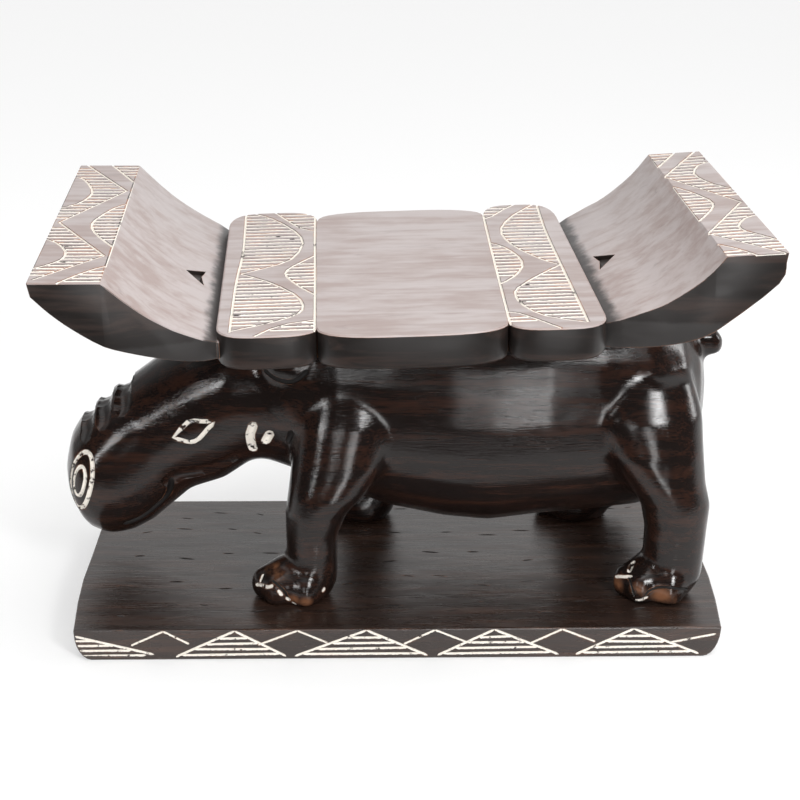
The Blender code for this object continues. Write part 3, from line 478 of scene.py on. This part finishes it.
# Marks and creases of the near feet, in millimetres, each mark with the radius of its gouge. The
# rubbed places have their reach, also in millimetres.
toe_radius_per_depth = 1.4
most_rubbed = 0.7
front_toe_marks = (
    (((-90.0, -58.0, 42.0), (-92.5, -60.8, 35.9)), 1.2),
    (((-96.0, -58.1, 33.0), (-92.0, -61.5, 34.9), (-87.5, -67.8, 36.6), (-83.5, -69.4, 38.4)), 1.5),
    (((-80.4, -70.9, 36.0), (-77.0, -70.8, 31.4)), 1.5),
    (((-74.7, -70.3, 30.0), (-72.2, -69.8, 27.2)), 1.5),
    (((-71.6, -70.0, 26.0), (-68.0, -70.8, 24.6)), 1.2),
    (((-49.9, -65.9, 32.6), (-49.0, -65.3, 33.4)), 2.1),
)
rear_toe_marks = (
    (((161.6, -51.2, 46.0), (159.5, -54.6, 44.2), (157.3, -58.9, 41.9)), 2.1),
    (((148.3, -53.3, 35.5), (153.4, -59.1, 38.6), (159.4, -63.4, 41.0)), 1.4),
    (((161.0, -69.0, 25.6), (165.1, -71.1, 27.0), (169.1, -71.0, 29.2)), 1.4),
)
front_toe_creases = (
    ((-84.5, -66.5, 41.5), (-78.8, -70.7, 38.0), (-75.0, -70.3, 33.0), (-73.2, -70.3, 28.0)),
)
rear_toe_creases = (
    ((167.0, -70.4, 30.5), (170.0, -71.4, 34.0), (176.0, -71.0, 36.6), (183.0, -73.1, 37.4),
     (190.5, -71.0, 35.6), (196.5, -63.0, 32.0)),
    ((154.5, -60.5, 41.0), (158.5, -65.0, 37.0), (161.0, -69.0, 29.0)),
)
rubbed_places = (
    ((-83.8, -57.2, 45.3), 7), ((-78.9, -63.3, 44.7), 7), ((-69.5, -71.7, 28.5), 5),
    ((-61.5, -74.2, 27.0), 6), ((178.0, -72.0, 30.0), 9), ((162.0, -69.0, 33.0), 7),
    ((190.0, -72.0, 28.0), 7), ((150.0, -57.0, 31.0), 7),
)


def even_skin(piece, voxel, rounds):
    """Lays an even skin over the piece, and smooths it."""
    remesh = piece.modifiers.new("even skin", "REMESH")
    remesh.mode = "VOXEL"
    remesh.voxel_size = voxel
    smooth = piece.modifiers.new("smooth", "SMOOTH")
    smooth.factor = 0.5
    smooth.iterations = rounds
    take(piece)
    bpy.ops.object.modifier_apply(modifier=remesh.name)
    bpy.ops.object.modifier_apply(modifier=smooth.name)


def on_figure(x, y, z):
    """A place from shares of the figure's length, width and height."""
    return figure_start + Vector((x * figure_size.x, y * figure_size.y, z * figure_size.z))


def through(points, steps):
    """A smooth line through the points."""
    points = [Vector(p) for p in points]
    ends = [points[0], *points, points[-1]]
    line = []
    for a, b, c, d in zip(ends, ends[1:], ends[2:], ends[3:]):
        for step in range(steps):
            t = step / steps
            line.append(b + t * (c - a) / 2 + t * t * (a - 2.5 * b + 2 * c - d / 2)
                        + t * t * t * (1.5 * (b - c) + (d - a) / 2))
    return [*line, points[-1]]


def gouge(name, centres, radius, closed=False, sides=1):
    """A cutting bar along the centres. With sides 0 it is four-sided and cuts a V."""
    curve = bpy.data.curves.new(name, "CURVE")
    curve.dimensions = "3D"
    curve.bevel_depth = radius
    curve.bevel_resolution = sides
    curve.use_fill_caps = True
    spline = curve.splines.new("POLY")
    spline.points.add(len(centres) - 1)
    for point, centre in zip(spline.points, centres):
        point.co = (*centre, 1)
    spline.use_cyclic_u = closed
    piece = bpy.data.objects.new(name, curve)
    bpy.context.scene.collection.objects.link(piece)
    take(piece)
    bpy.ops.object.convert(target="MESH")
    bpy.ops.object.mode_set(mode="EDIT")
    bpy.ops.mesh.select_all(action="SELECT")
    bpy.ops.mesh.remove_doubles(threshold=radius / 500)
    bpy.ops.mesh.normals_make_consistent(inside=False)
    bpy.ops.object.mode_set(mode="OBJECT")
    return piece


def together(name, cutters):
    """One cutter made of several."""
    whole = joined(name, [(cutter.data, Matrix.Identity(4)) for cutter in cutters])
    for cutter in cutters:
        bpy.data.objects.remove(cutter)
    return whole


figure = whole_copy("hippopotamus", "hippopotamus_carved")
even_skin(figure, skin_voxel, skin_rounds)
figure_skin = skin_of(figure)


def gouge_on_skin(path, radius, depth, closed=False, sides=2):
    """A gouge that follows a path on the skin, and runs out of the wood at open ends."""
    centres = []
    for number, (place, out) in enumerate(path):
        at_end = not closed and number in (0, len(path) - 1)
        centres.append(place + out * (radius if at_end else radius - depth))
    return gouge("gouge", centres, radius, closed, sides)


def on_side(line, side, closed=False):
    """A line given on the figure's side, laid on its skin."""
    points = [(x, z, 0) for x, z in line]
    smooth = through([*points, points[0]] if closed else points, 2 if closed else 4)
    path = []
    for x, z, _ in smooth[:-1] if closed else smooth:
        place, out, _, _ = figure_skin.ray_cast(on_figure(x, side, z), Vector((0, -side, 0)))
        path.append((place, out))
    return path


def on_foot(points, side):
    """A line given in millimetres at a near foot, laid on the skin of that foot or of the far one."""
    path = []
    for x, y, z in through(points, 3):
        place = Vector((x, y, z)) / millimetres
        if side > 0:
            place.y = 2 * figure_start.y - place.y
        place, out, _, _ = figure_skin.find_nearest(place)
        path.append((place, out))
    return path


def over_muzzle(fold):
    """Half a turn round the muzzle, from one side over the top to the other."""
    x, top, low = fold
    top, inside = on_figure(x, 0, top), on_figure(x, 0, low)
    path = []
    for step in range(muzzle_steps + 1):
        turn = math.pi * (step / muzzle_steps - 0.5)
        away = (top - inside).normalized() * math.cos(turn) + Vector((0, math.sin(turn), 0))
        place, out, _, _ = figure_skin.ray_cast(inside + away * figure_size.y, -away)
        path.append((place, out))
    return path


def round_nostril(side, share):
    """A turn round a nostril, at a share of its size."""
    x, y, z = nostril_middle
    middle = on_figure(x, side * y, z)
    away = Vector((-math.cos(nostril_outward), side * math.sin(nostril_outward), 0))
    up = Vector((math.sin(nostril_lean), 0, math.cos(nostril_lean)))
    across = away.cross(up).normalized()
    path = []
    for step in range(nostril_steps):
        turn = math.radians(360 / nostril_steps * step)
        place = middle + up * math.cos(turn) * share * nostril_height / 2
        place += across * math.sin(turn) * share * nostril_width / 2
        place, out, _, _ = figure_skin.ray_cast(place + away * figure_size.y, -away)
        path.append((place, out))
    return path


def both_sides(lines, size, closed=False, sides=2):
    """Gouges of one size along the lines, on both sides of the figure."""
    return [gouge_on_skin(on_side(line, side, closed), *size, closed, sides)
            for line in lines for side in (-1, 1)]


def all_feet(lines_and_sizes):
    """Gouges along lines given at the near feet, on the near and the far ones."""
    return [gouge_on_skin(on_foot(line, side), *size) for line, size in lines_and_sizes for side in (-1, 1)]


def both_nostrils(share, radius):
    return [gouge_on_skin(round_nostril(side, share), radius, radius * nostril_depth_share, closed=True)
            for side in (-1, 1)]


def cut_figure(gouges):
    """Cuts the gouges out of the figure, and gives the skin of the cut."""
    return carve(figure, together("gouges", gouges), "MANIFOLD")


toe_creases = [(line, crease_gouge) for line in front_toe_creases + rear_toe_creases]
toe_marks = [(line, (radius / millimetres, radius / (toe_radius_per_depth * millimetres)))
             for line, radius in front_toe_marks + rear_toe_marks]
for fold in muzzle_folds:
    cut_figure([gouge_on_skin(over_muzzle(fold), *fold_gouge, sides=4)])
cut_figure(both_sides([jaw_line], jaw_gouge, sides=4))
dark_walls = [cut_figure(both_sides([mouth_line], mouth_gouge) + both_sides([ear_line], ear_gouge)
                         + both_sides([last_neck_line], last_neck_gouge)),
              cut_figure(all_feet(toe_creases))]
white_walls = [cut_figure(both_sides([eye_line], eye_gouge, closed=True)
                          + both_sides(neck_lines, neck_gouge)),
               cut_figure(all_feet(toe_marks))]
white_walls += [cut_figure(both_nostrils(share, radius)) for share, radius in nostril_rings]


def below_figure_skin(place):
    return (figure_skin.find_nearest(place)[0] - place).length


def mark_rubbed(piece, places):
    """Stores how far each point is rubbed to the bare wood: most at the given places of both sides."""
    values = piece.data.attributes.new("rubbed", "FLOAT", "POINT").data
    middles = [(Vector(place) / millimetres, reach / millimetres) for place, reach in places]
    for vertex in piece.data.vertices:
        near = vertex.co.copy()
        near.y = figure_start.y - abs(near.y - figure_start.y)
        share = max(1 - (near - middle).length / reach for middle, reach in middles)
        values[vertex.index].value = max(0, min(most_rubbed, share))


mark_cuts(figure, "white_cut", white_walls, below_figure_skin)
mark_cuts(figure, "dark_cut", dark_walls, below_figure_skin)
mark_rubbed(figure, rubbed_places)
figure_stain = stained_wood("figure stain", figure_dark, figure_warm, sheen=(0.07, 0.17), shine=0.35,
                            bump=0.0004, wear=(0.50, 0.64), gaps=(0.38, 0.47))
finish_wood(figure, figure_stain, degrees=40)
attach(figure, "root")
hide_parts("hippopotamus")


# Back dowels
# Three thicker rods of the same plain wood, glued into the flat-cut back and up into the slab.
# They too are the CAD's own dowels, and nothing of them shows.

for name in ("dowel_shoulder", "dowel_back", "dowel_hip"):
    finish_dowel(name)


# Seat
# One carved plank: a scalloped slab between two wings that sweep up to flat tips. Its upper side has a pale
# bloom from wax and use with painted sheen on it, its edges stay near black, and its bands and tips are
# hatched.

seat_middle = (0.002476, -0.001331, 0.2403)
seat_turn = math.radians(1.04)
seat_tilt = math.radians(1.71)
seat_place = (Matrix.Translation(seat_middle) @ Matrix.Rotation(seat_turn, 4, "Z")
              @ Matrix.Rotation(-seat_tilt, 4, "Y"))
from_seat = seat_place.inverted()
# The pale colours of the upper side are partly its bloom and partly painted sheen.
seat_pale_and_sheen = (0.455, 0.40, 0.39, 1)
seat_blush = (0.35, 0.275, 0.255, 1)
seat_edge = (0.012, 0.009, 0.008, 1)
seat_edge_warm = (0.034, 0.021, 0.017, 1)
seat_stained = (0.16, 0.115, 0.105, 1)
seat_worn = (0.42, 0.20, 0.11, 1)
# Painted shade, with some dark stain, at the wings' roots.
root_shade_and_stain_colour = (0.035, 0.032, 0.031, 1)
# Painted shade in the arrowheads' recesses.
arrow_shade_colour = (0.030, 0.022, 0.019, 1)
seat_sheen = (0.36, 0.50)
seat_relief = 0.0006
slab_half = 0.118
slab_half_depth = 0.1155
wing_reach = 0.106
wing_root = 0.02
left_wing_half_depth = 0.13625
right_wing_half_depth = 0.12435
left_tip_start = 0.60
right_tip_start = 0.65
tip_rise = 0.0405
tip_slope = 0.03
hatch_pitch = 0.0070
hatch_growth = 0.12
hatch_width = 0.0036
hatch_widths = (0.0041, 0.0045)
hatch_depth = 0.0014
hatch_setback = 0.0015
hatch_overrun = 0.0016
shortest_hatch = 0.0040
hatch_sway = 0.0004
sway_turn = math.radians(137)
line_radius = 0.00135
line_lift = 0.0002
tip_overrun = 0.0002

# The arrowhead in each wing: how far it lies forward, its span beyond the slab, and how deep it is.
left_arrow_forward = 0.0118
right_arrow_forward = 0.0017
arrow_span = (0.0105, 0.0260)
arrow_half_width = 0.0155
arrow_clearance = 0.030
arrow_sunk = (0.0006, 0.0050)
well_above = 0.1

# Heights from the slab's top between which the bloom and its painted sheen fade in and the painted shade
# of the wings' roots, with some dark stain, sets in, and the distances from the middle between which the
# roots start.
bloom_and_sheen_heights = (-0.0105, -0.0085)
root_heights = (-0.0016, -0.0044)
root_starts = (0.1170, 0.1178)

# Outlines of the carved fields. On the slab: shares of its half length, to the right, and of its half
# depth, to the back. On the tips: shares of the wing's reach beyond the slab, and of its half depth.
left_band = {
    "outer": ((-0.905, 1.25), (-0.90, 0.40), (-0.915, 0), (-0.925, -0.35), (-0.93, -1.03)),
    "inner": ((-0.475, 1.25), (-0.485, 0.55), (-0.49, -0.20), (-0.50, -1.05)),
    "back arch": ((-0.88, 1.22), (-0.75, 1.08), (-0.605, 0.785), (-0.555, 0.51), (-0.625, 0.20),
                  (-0.77, 0.05), (-0.905, -0.045)),
    "front arch": ((-0.90, -0.05), (-0.755, -0.195), (-0.61, -0.425), (-0.558, -0.62), (-0.585, -0.765),
                   (-0.71, -0.885), (-0.925, -1.005)),
    "small arch": ((-0.487, 0.265), (-0.575, 0.13), (-0.645, 0), (-0.645, -0.12), (-0.57, -0.32),
                   (-0.493, -0.455)),
    "back part": ((-0.735, 1.23), (-0.635, 0.985), (-0.565, 0.835), (-0.482, 0.77)),
    "front part": ((-0.503, -0.875), (-0.63, -0.92), (-0.725, -0.995), (-0.805, -1.10)),
}
right_band = {
    "outer": ((0.915, 1.25), (0.895, 0.79), (0.89, 0.45), (0.89, 0), (0.893, -1.05)),
    "inner": ((0.567, 1.25), (0.547, 0.75), (0.526, 0.06), (0.508, -0.56), (0.495, -1.05)),
    "back arch": ((0.885, 1.215), (0.735, 0.98), (0.637, 0.715), (0.635, 0.48), (0.70, 0.245), (0.81, 0.03),
                  (0.885, -0.055)),
    "front arch": ((0.885, -0.06), (0.745, -0.235), (0.605, -0.445), (0.575, -0.59), (0.60, -0.76),
                   (0.69, -0.93), (0.885, -1.045)),
    "small arch": ((0.535, 0.41), (0.605, 0.325), (0.67, 0.125), (0.672, -0.07), (0.60, -0.255),
                   (0.517, -0.37)),
    "back part": ((0.775, 1.23), (0.70, 1.135), (0.61, 0.98), (0.55, 0.925)),
    "front part": ((0.497, -0.847), (0.56, -0.875), (0.635, -0.97), (0.745, -1.13)),
}
left_tip = {
    "zigzag": ((0.97, 1.035), (0.627, 0.48), (0.967, -0.08), (0.627, -0.613), (0.975, -0.955)),
    "ribbon": ((0.80, 1.035), (0.60, 0.65)),
    "middle arch": ((0.595, 0.235), (0.665, 0.17), (0.755, -0.03), (0.76, -0.165), (0.695, -0.32),
                    (0.595, -0.48)),
    "front arch": ((0.595, -0.77), (0.65, -0.80), (0.74, -0.89), (0.84, -1.01)),
    "back lobe": ((1.01, 0.76), (0.94, 0.72), (0.855, 0.52), (0.85, 0.38), (0.91, 0.245), (1.01, 0.165)),
    "front lobe": ((1.01, -0.35), (0.93, -0.41), (0.855, -0.545), (0.86, -0.66), (0.93, -0.745),
                   (1.01, -0.80)),
}
right_tip = {
    "zigzag": ((0.975, 1.02), (0.64, 0.49), (0.98, -0.09), (0.64, -0.615), (0.98, -1.0)),
    "ribbon": ((0.835, 1.02), (0.645, 0.70)),
    "middle arch": ((0.645, 0.28), (0.715, 0.18), (0.80, -0.01), (0.795, -0.14), (0.725, -0.27),
                    (0.645, -0.39)),
    "front arch": ((0.645, -0.80), (0.69, -0.835), (0.755, -0.91), (0.825, -1.02)),
    "back lobe": ((1.01, 0.755), (0.915, 0.70), (0.845, 0.53), (0.865, 0.385), (0.92, 0.27), (1.01, 0.155)),
    "front lobe": ((1.01, -0.34), (0.92, -0.39), (0.85, -0.51), (0.86, -0.60), (0.93, -0.69), (1.01, -0.80)),
}
# Lines that touch are cut in different rounds. Those without a number here are cut in round 1.
cutting_round = {"outer": 0, "inner": 0, "zigzag": 0, "front arch": 2}


def band_lines(band):
    """Lines of a band, in metres in the seat's own frame."""
    return {name: [(p.x, p.y) for p in through([(x * slab_half, y * slab_half_depth, 0) for x, y in line], 2)]
            for name, line in band.items()}


def tip_lines(tip, side, half_depth):
    """Lines of a tip, in metres in the seat's own frame."""
    lines = {}
    for name, line in tip.items():
        points = [(side * (slab_half + x * wing_reach), y * half_depth, 0) for x, y in line]
        if name not in ("zigzag", "ribbon"):
            points = through(points, 2)
        lines[name] = [(p[0], p[1]) for p in points]
    return lines


def tip_height(x):
    """Height of the wings' flat tips above the slab."""
    reach = abs(x) - slab_half
    start = left_tip_start if x < 0 else right_tip_start
    share = (reach / wing_reach - start) / (1 - start)
    return tip_rise * (1 - tip_slope + tip_slope * max(0, min(1, share))) if reach > wing_root else 0


def on_seat(x, y):
    """A place just above the slab or the tips, from the seat's own frame."""
    return seat_place @ Vector((x, y, tip_height(x) + line_lift))


def crossing(lines, y):
    """Where the first of the lines that reaches y crosses it."""
    for line in lines:
        for (x0, y0), (x1, y1) in zip(line, line[1:]):
            if y0 != y1 and (y0 - y) * (y1 - y) <= 0:
                return x0 + (x1 - x0) * (y - y0) / (y1 - y0)
    return None


def hatch(low, high, one_side, other_side):
    """Places of the strokes that fill the field between two sides, from y low to y high."""
    places = []
    up = seat_place.to_3x3() @ Vector((0, 0, 1))
    y = low + hatch_pitch / 2
    while y < high:
        levels = [y - hatch_width / 2, y, y + hatch_width / 2]
        ends = [[crossing(lines, level) for level in levels] for lines in (one_side, other_side)]
        if None not in ends[0] + ends[1]:
            low_end, high_end = sorted(ends)
            left, right = max(low_end) + hatch_setback, min(high_end) - hatch_setback
            sway = hatch_sway * math.sin(len(places) * sway_turn)
            if right - left > shortest_hatch:
                start, end = on_seat(left - hatch_overrun, y - sway), on_seat(right + hatch_overrun, y + sway)
                places.append(stroke_place(start, end, up, hand.uniform(*hatch_widths), hatch_depth))
        y += hatch_pitch * (1 + hatch_growth * y / slab_half_depth)
    return places


def band_strokes(lines):
    """Places of the hatching of a band."""
    places = []
    for name, border in (("back arch", "outer"), ("front arch", "outer"), ("small arch", "inner"),
                         ("back part", "inner"), ("front part", "inner")):
        line = lines[name]
        places += hatch(line[-1][1], line[0][1], [line], [lines[border]])
    return places


def tip_strokes(lines, side, start, half_depth):
    """Places of the hatching of a tip, between its lines and its inner and outer rims."""
    inner = [(side * (slab_half + start * wing_reach - tip_overrun), y) for y in (1, -1)]
    outer = [(side * (slab_half + wing_reach + tip_overrun), y) for y in (1, -1)]
    zigzag = lines["zigzag"]
    places = hatch(lines["ribbon"][1][1], half_depth, [lines["ribbon"]], [inner])
    for name in ("middle arch", "front arch"):
        line = lines[name]
        places += hatch(max(line[-1][1], -half_depth), line[0][1], [line], [inner])
    places += hatch(zigzag[2][1], half_depth, [zigzag], [lines["back lobe"], outer])
    places += hatch(zigzag[-1][1], zigzag[2][1], [zigzag], [lines["front lobe"], outer])
    return places


def wing_height(x, y):
    """Height of the upper side at a place in the seat's own frame."""
    above = seat_place @ Vector((x, y, well_above))
    place, _, _, _ = seat_skin.ray_cast(above, seat_place.to_3x3() @ Vector((0, 0, -1)))
    return (from_seat @ place).z


def in_arrowhead(place):
    """Whether a face's middle lies in the chip-cut arrowhead of a wing, under the wing's upper side."""
    local = from_seat @ place
    forward = left_arrow_forward if local.x < 0 else right_arrow_forward
    along = abs(local.x) - slab_half
    if not arrow_span[0] < along < arrow_span[1] or abs(local.y + forward) > arrow_half_width:
        return False
    sunk = wing_height(local.x, arrow_clearance - forward) - local.z
    return arrow_sunk[0] < sunk < arrow_sunk[1]


seat = whole_copy("seat", "seat_carved")
seat_skin = skin_of(seat)
line_rounds = ([], [], [])
hatching = []
fields = []
for band in (left_band, right_band):
    lines = band_lines(band)
    fields.append((lines, band_strokes(lines)))
for tip, side, start, half_depth in ((left_tip, -1, left_tip_start, left_wing_half_depth),
                                     (right_tip, 1, right_tip_start, right_wing_half_depth)):
    lines = tip_lines(tip, side, half_depth)
    fields.append((lines, tip_strokes(lines, side, start, half_depth)))
for lines, places in fields:
    hatching += [(stroke.data, place) for place in places]
    for name, line in lines.items():
        line_rounds[cutting_round.get(name, 1)].append([on_seat(x, y) for x, y in line])
seat_walls = []
for lines in line_rounds:
    gouges = [gouge("line", line, line_radius, sides=0) for line in lines]
    seat_walls.append(carve(seat, together("lines", gouges), "MANIFOLD"))
seat_walls.append(carve(seat, joined("hatching", hatching), "MANIFOLD"))


def below_seat_skin(place):
    local = from_seat @ place
    return max(0, tip_height(local.x) - local.z)


mark_cuts(seat, "white_cut", seat_walls, below_seat_skin)
# Faces of the arrowheads' recesses, which get painted shade.
recess_shade_faces = seat.data.attributes.new("recess_shade", "FLOAT", "FACE").data
for face in seat.data.polygons:
    recess_shade_faces[face.index].value = in_arrowhead(face.center)


def along_seat(tree, axis):
    """Distance from the middle of the slab's top along one of the seat's own axes."""
    place = node(tree, "ShaderNodeTexCoord").outputs["Object"]
    away = node(tree, "ShaderNodeVectorMath", {0: place, 1: seat_place.to_translation()},
                operation="SUBTRACT").outputs[0]
    made = node(tree, "ShaderNodeVectorMath", {0: away, 1: seat_place.to_3x3() @ Vector(axis)},
                operation="DOT_PRODUCT")
    return made.outputs["Value"]


def seat_stain():
    """Pale bloom with painted sheen on the upper side, near-black edges, worn rims and white pigment in the
    cuts.
    """
    material, tree, shader = wood("seat stain")
    here = node(tree, "ShaderNodeNewGeometry").outputs["True Normal"]
    streaks = grain(tree, 7.0, (1, 12, 12), detail=6.0, distortion=0.5)
    clouds = grain(tree, 9.0, (1, 1, 1), detail=3.0)
    mottle = grain(tree, 38.0, (1, 2.5, 2.5), detail=3.0)
    patches = grain(tree, 60.0, (1, 1, 1), detail=5.0)
    blush = between(tree, maths(tree, "ADD", maths(tree, "MULTIPLY", streaks, 0.45),
                                maths(tree, "ADD", maths(tree, "MULTIPLY", clouds, 0.30),
                                      maths(tree, "MULTIPLY", mottle, 0.25))), 0.42, 0.60)
    pale = blend_colour(tree, blush, seat_pale_and_sheen, seat_blush)
    stains = between(tree, grain(tree, 16.0, (1, 5, 5), detail=5.0, distortion=1.2), 0.60, 0.76)
    pale = blend_colour(tree, maths(tree, "MULTIPLY", stains, 0.35), pale, seat_stained)
    dark = blend_colour(tree, between(tree, streaks, 0.45, 0.62), seat_edge, seat_edge_warm)
    up = node(tree, "ShaderNodeSeparateXYZ", {0: here}).outputs["Z"]
    rise = maths(tree, "ADD", up, maths(tree, "MULTIPLY", maths(tree, "SUBTRACT", patches, 0.5), 0.1))
    x = maths(tree, "ABSOLUTE", along_seat(tree, (1, 0, 0)))
    z = along_seat(tree, (0, 0, 1))
    # Bloom with painted sheen: pale only on faces that look up and lie high enough on the seat.
    bloom_and_sheen = maths(tree, "MULTIPLY", between(tree, rise, 0.22, 0.34), between(tree, z, *bloom_and_sheen_heights))
    colour = blend_colour(tree, bloom_and_sheen, dark, pale)
    blotch = maths(tree, "MULTIPLY", maths(tree, "SUBTRACT", grain(tree, 110.0, (1, 1, 1)), 0.5), 0.004)
    # Painted shade, with some dark stain, in the corner where each wing's upper side meets the slab.
    root = maths(tree, "MULTIPLY", between(tree, maths(tree, "ADD", z, blotch), *root_heights),
                 between(tree, x, *root_starts))
    colour = blend_colour(tree, maths(tree, "MULTIPLY", root, 0.9), colour, root_shade_and_stain_colour)
    worn = edge_wear(tree, 0.0012, patches, 0.38, 0.54)
    worn_tone = blend_colour(tree, between(tree, clouds, 0.4, 0.6), worn_colour, seat_worn)
    colour = blend_colour(tree, maths(tree, "MULTIPLY", worn, 0.85), colour, worn_tone)
    edge = ragged_depth(tree, "white_cut", 0.5)
    groove = blend_colour(tree, between(tree, patches, 0.45, 0.60), seat_edge_warm, worn_colour)
    colour = blend_colour(tree, between(tree, edge, 0.02, 0.08), colour, groove)
    filled = maths(tree, "MULTIPLY", between(tree, edge, 0.26, 0.42), between(tree, patches, 0.30, 0.37))
    colour = blend_colour(tree, filled, colour, pigment_colour)
    # Painted shade in the arrowheads.
    colour = blend_colour(tree, maths(tree, "MULTIPLY", stored(tree, "recess_shade"), 0.95), colour, arrow_shade_colour)
    tree.links.new(colour, shader.inputs["Base Color"])
    rough = maths(tree, "MAXIMUM", polish(tree, 22.0, (1, 7, 7), *seat_sheen),
                  maths(tree, "MULTIPLY", filled, 0.85))
    tree.links.new(rough, shader.inputs["Roughness"])
    relief = maths(tree, "ADD", clouds, maths(tree, "MULTIPLY", mottle, 0.10))
    add_relief(tree, shader, relief, seat_relief)
    return material


finish_wood(seat, seat_stain(), degrees=25)
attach(seat, "root")
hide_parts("seat")


# Studio
# A plain white floor, a bright sweep of light behind and above, dim surroundings in front, and
# softboxes near the camera that draw the highlights on the polished figure.

floor_white = (0.98, 0.98, 0.98, 1)
floor_size = 12
floor_front = -0.27
floor_glow = 0.4
front_light = 0.06
back_light = 1.0
left_dimming = 0.6
overhead_light = 1.35
lamp_target = Vector((0, 0, 0.13))
lamp_distance = 1.5
camera_lens = 77.5556
camera_place = Matrix(((0.99923, 0.00075, -0.03934, -0.04388),
                       (-0.03676, 0.37487, -0.92635, -1.09284),
                       (0.01406, 0.92708, 0.37461, 0.58605),
                       (0, 0, 0, 1)))


def floor_material():
    """White floor. Seen straight on it is partly lit by itself, as the photograph's paper sweep is."""
    material, tree, shader = wood("studio floor")
    shader.inputs["Base Color"].default_value = floor_white
    shader.inputs["Roughness"].default_value = 0.8
    glow = node(tree, "ShaderNodeEmission", {"Color": (1, 1, 1, 1), "Strength": 1.0}).outputs[0]
    path = node(tree, "ShaderNodeLightPath")
    seen = maths(tree, "MAXIMUM", path.outputs["Is Camera Ray"], path.outputs["Is Glossy Ray"])
    share = maths(tree, "MULTIPLY", seen, floor_glow)
    mixed = node(tree, "ShaderNodeMixShader", {0: share, 1: shader.outputs[0], 2: glow}).outputs[0]
    tree.links.new(mixed, tree.nodes["Material Output"].inputs["Surface"])
    return material


deselect_all()
bpy.ops.mesh.primitive_plane_add(size=floor_size, location=(0, floor_front + floor_size / 2, 0))
floor = bpy.context.object
floor.name = "studio_floor"
floor.data.materials.append(floor_material())

world = bpy.data.worlds.new("studio")
bpy.context.scene.world = world
world.use_nodes = True
sky = world.node_tree
direction = node(sky, "ShaderNodeTexCoord").outputs["Generated"]
parts = node(sky, "ShaderNodeSeparateXYZ", {0: direction})
behind = node(sky, "ShaderNodeMapRange", {"Value": between(sky, parts.outputs["Y"], -0.05, 0.35),
                                          "To Min": front_light, "To Max": back_light}).outputs["Result"]
leftward = maths(sky, "MULTIPLY", between(sky, parts.outputs["X"], 0.1, -0.7), left_dimming)
behind = maths(sky, "MULTIPLY", behind, maths(sky, "SUBTRACT", 1.0, leftward))
overhead = maths(sky, "MULTIPLY", between(sky, parts.outputs["Z"], 0.55, 0.85), overhead_light)
seen = node(sky, "ShaderNodeLightPath").outputs["Is Camera Ray"]
strength = maths(sky, "MAXIMUM", maths(sky, "MAXIMUM", behind, overhead), seen)
strength = node(sky, "ShaderNodeMix", {0: seen, 2: strength, 3: 1.0}).outputs[0]
background = sky.nodes["Background"]
background.inputs["Color"].default_value = (1, 1, 1, 1)
sky.links.new(strength, background.inputs["Strength"])


def softbox(name, azimuth, elevation, width, height, power, distance=lamp_distance):
    """An area lamp that looks at the stool. Angles are in degrees, and azimuth runs from the front
    to the right."""
    lamp = bpy.data.lights.new(name, "AREA")
    lamp.shape = "RECTANGLE"
    lamp.size = width
    lamp.size_y = height
    lamp.energy = power
    a, e = math.radians(azimuth), math.radians(elevation)
    away = Vector((math.sin(a) * math.cos(e), -math.cos(a) * math.cos(e), math.sin(e)))
    piece = bpy.data.objects.new(name, lamp)
    piece.location = lamp_target + away * distance
    piece.rotation_euler = (-away).to_track_quat("-Z", "Y").to_euler()
    bpy.context.scene.collection.objects.link(piece)


softbox("softbox_left", -43, 15, 0.09, 0.28, 3.3)
softbox("softbox_middle", 10.5, -4, 0.14, 0.80, 4.8)
softbox("softbox_shoulder", -12, 11, 0.30, 0.22, 1.4)
softbox("softbox_right", 26, 27, 0.28, 0.34, 11.0)
softbox("softbox_side", 92, 15, 0.30, 0.45, 5.0)
softbox("softbox_top", 20, 75, 1.0, 1.0, 7.5, 1.8)

camera = bpy.data.objects.new("camera", bpy.data.cameras.new("camera"))
camera.data.sensor_width = 36
camera.data.lens = camera_lens
camera.matrix_world = camera_place
bpy.context.scene.collection.objects.link(camera)
bpy.context.scene.camera = camera
bpy.context.scene.view_settings.view_transform = "Standard"

bpy.data.objects.remove(stroke)
bpy.data.objects.remove(nick)
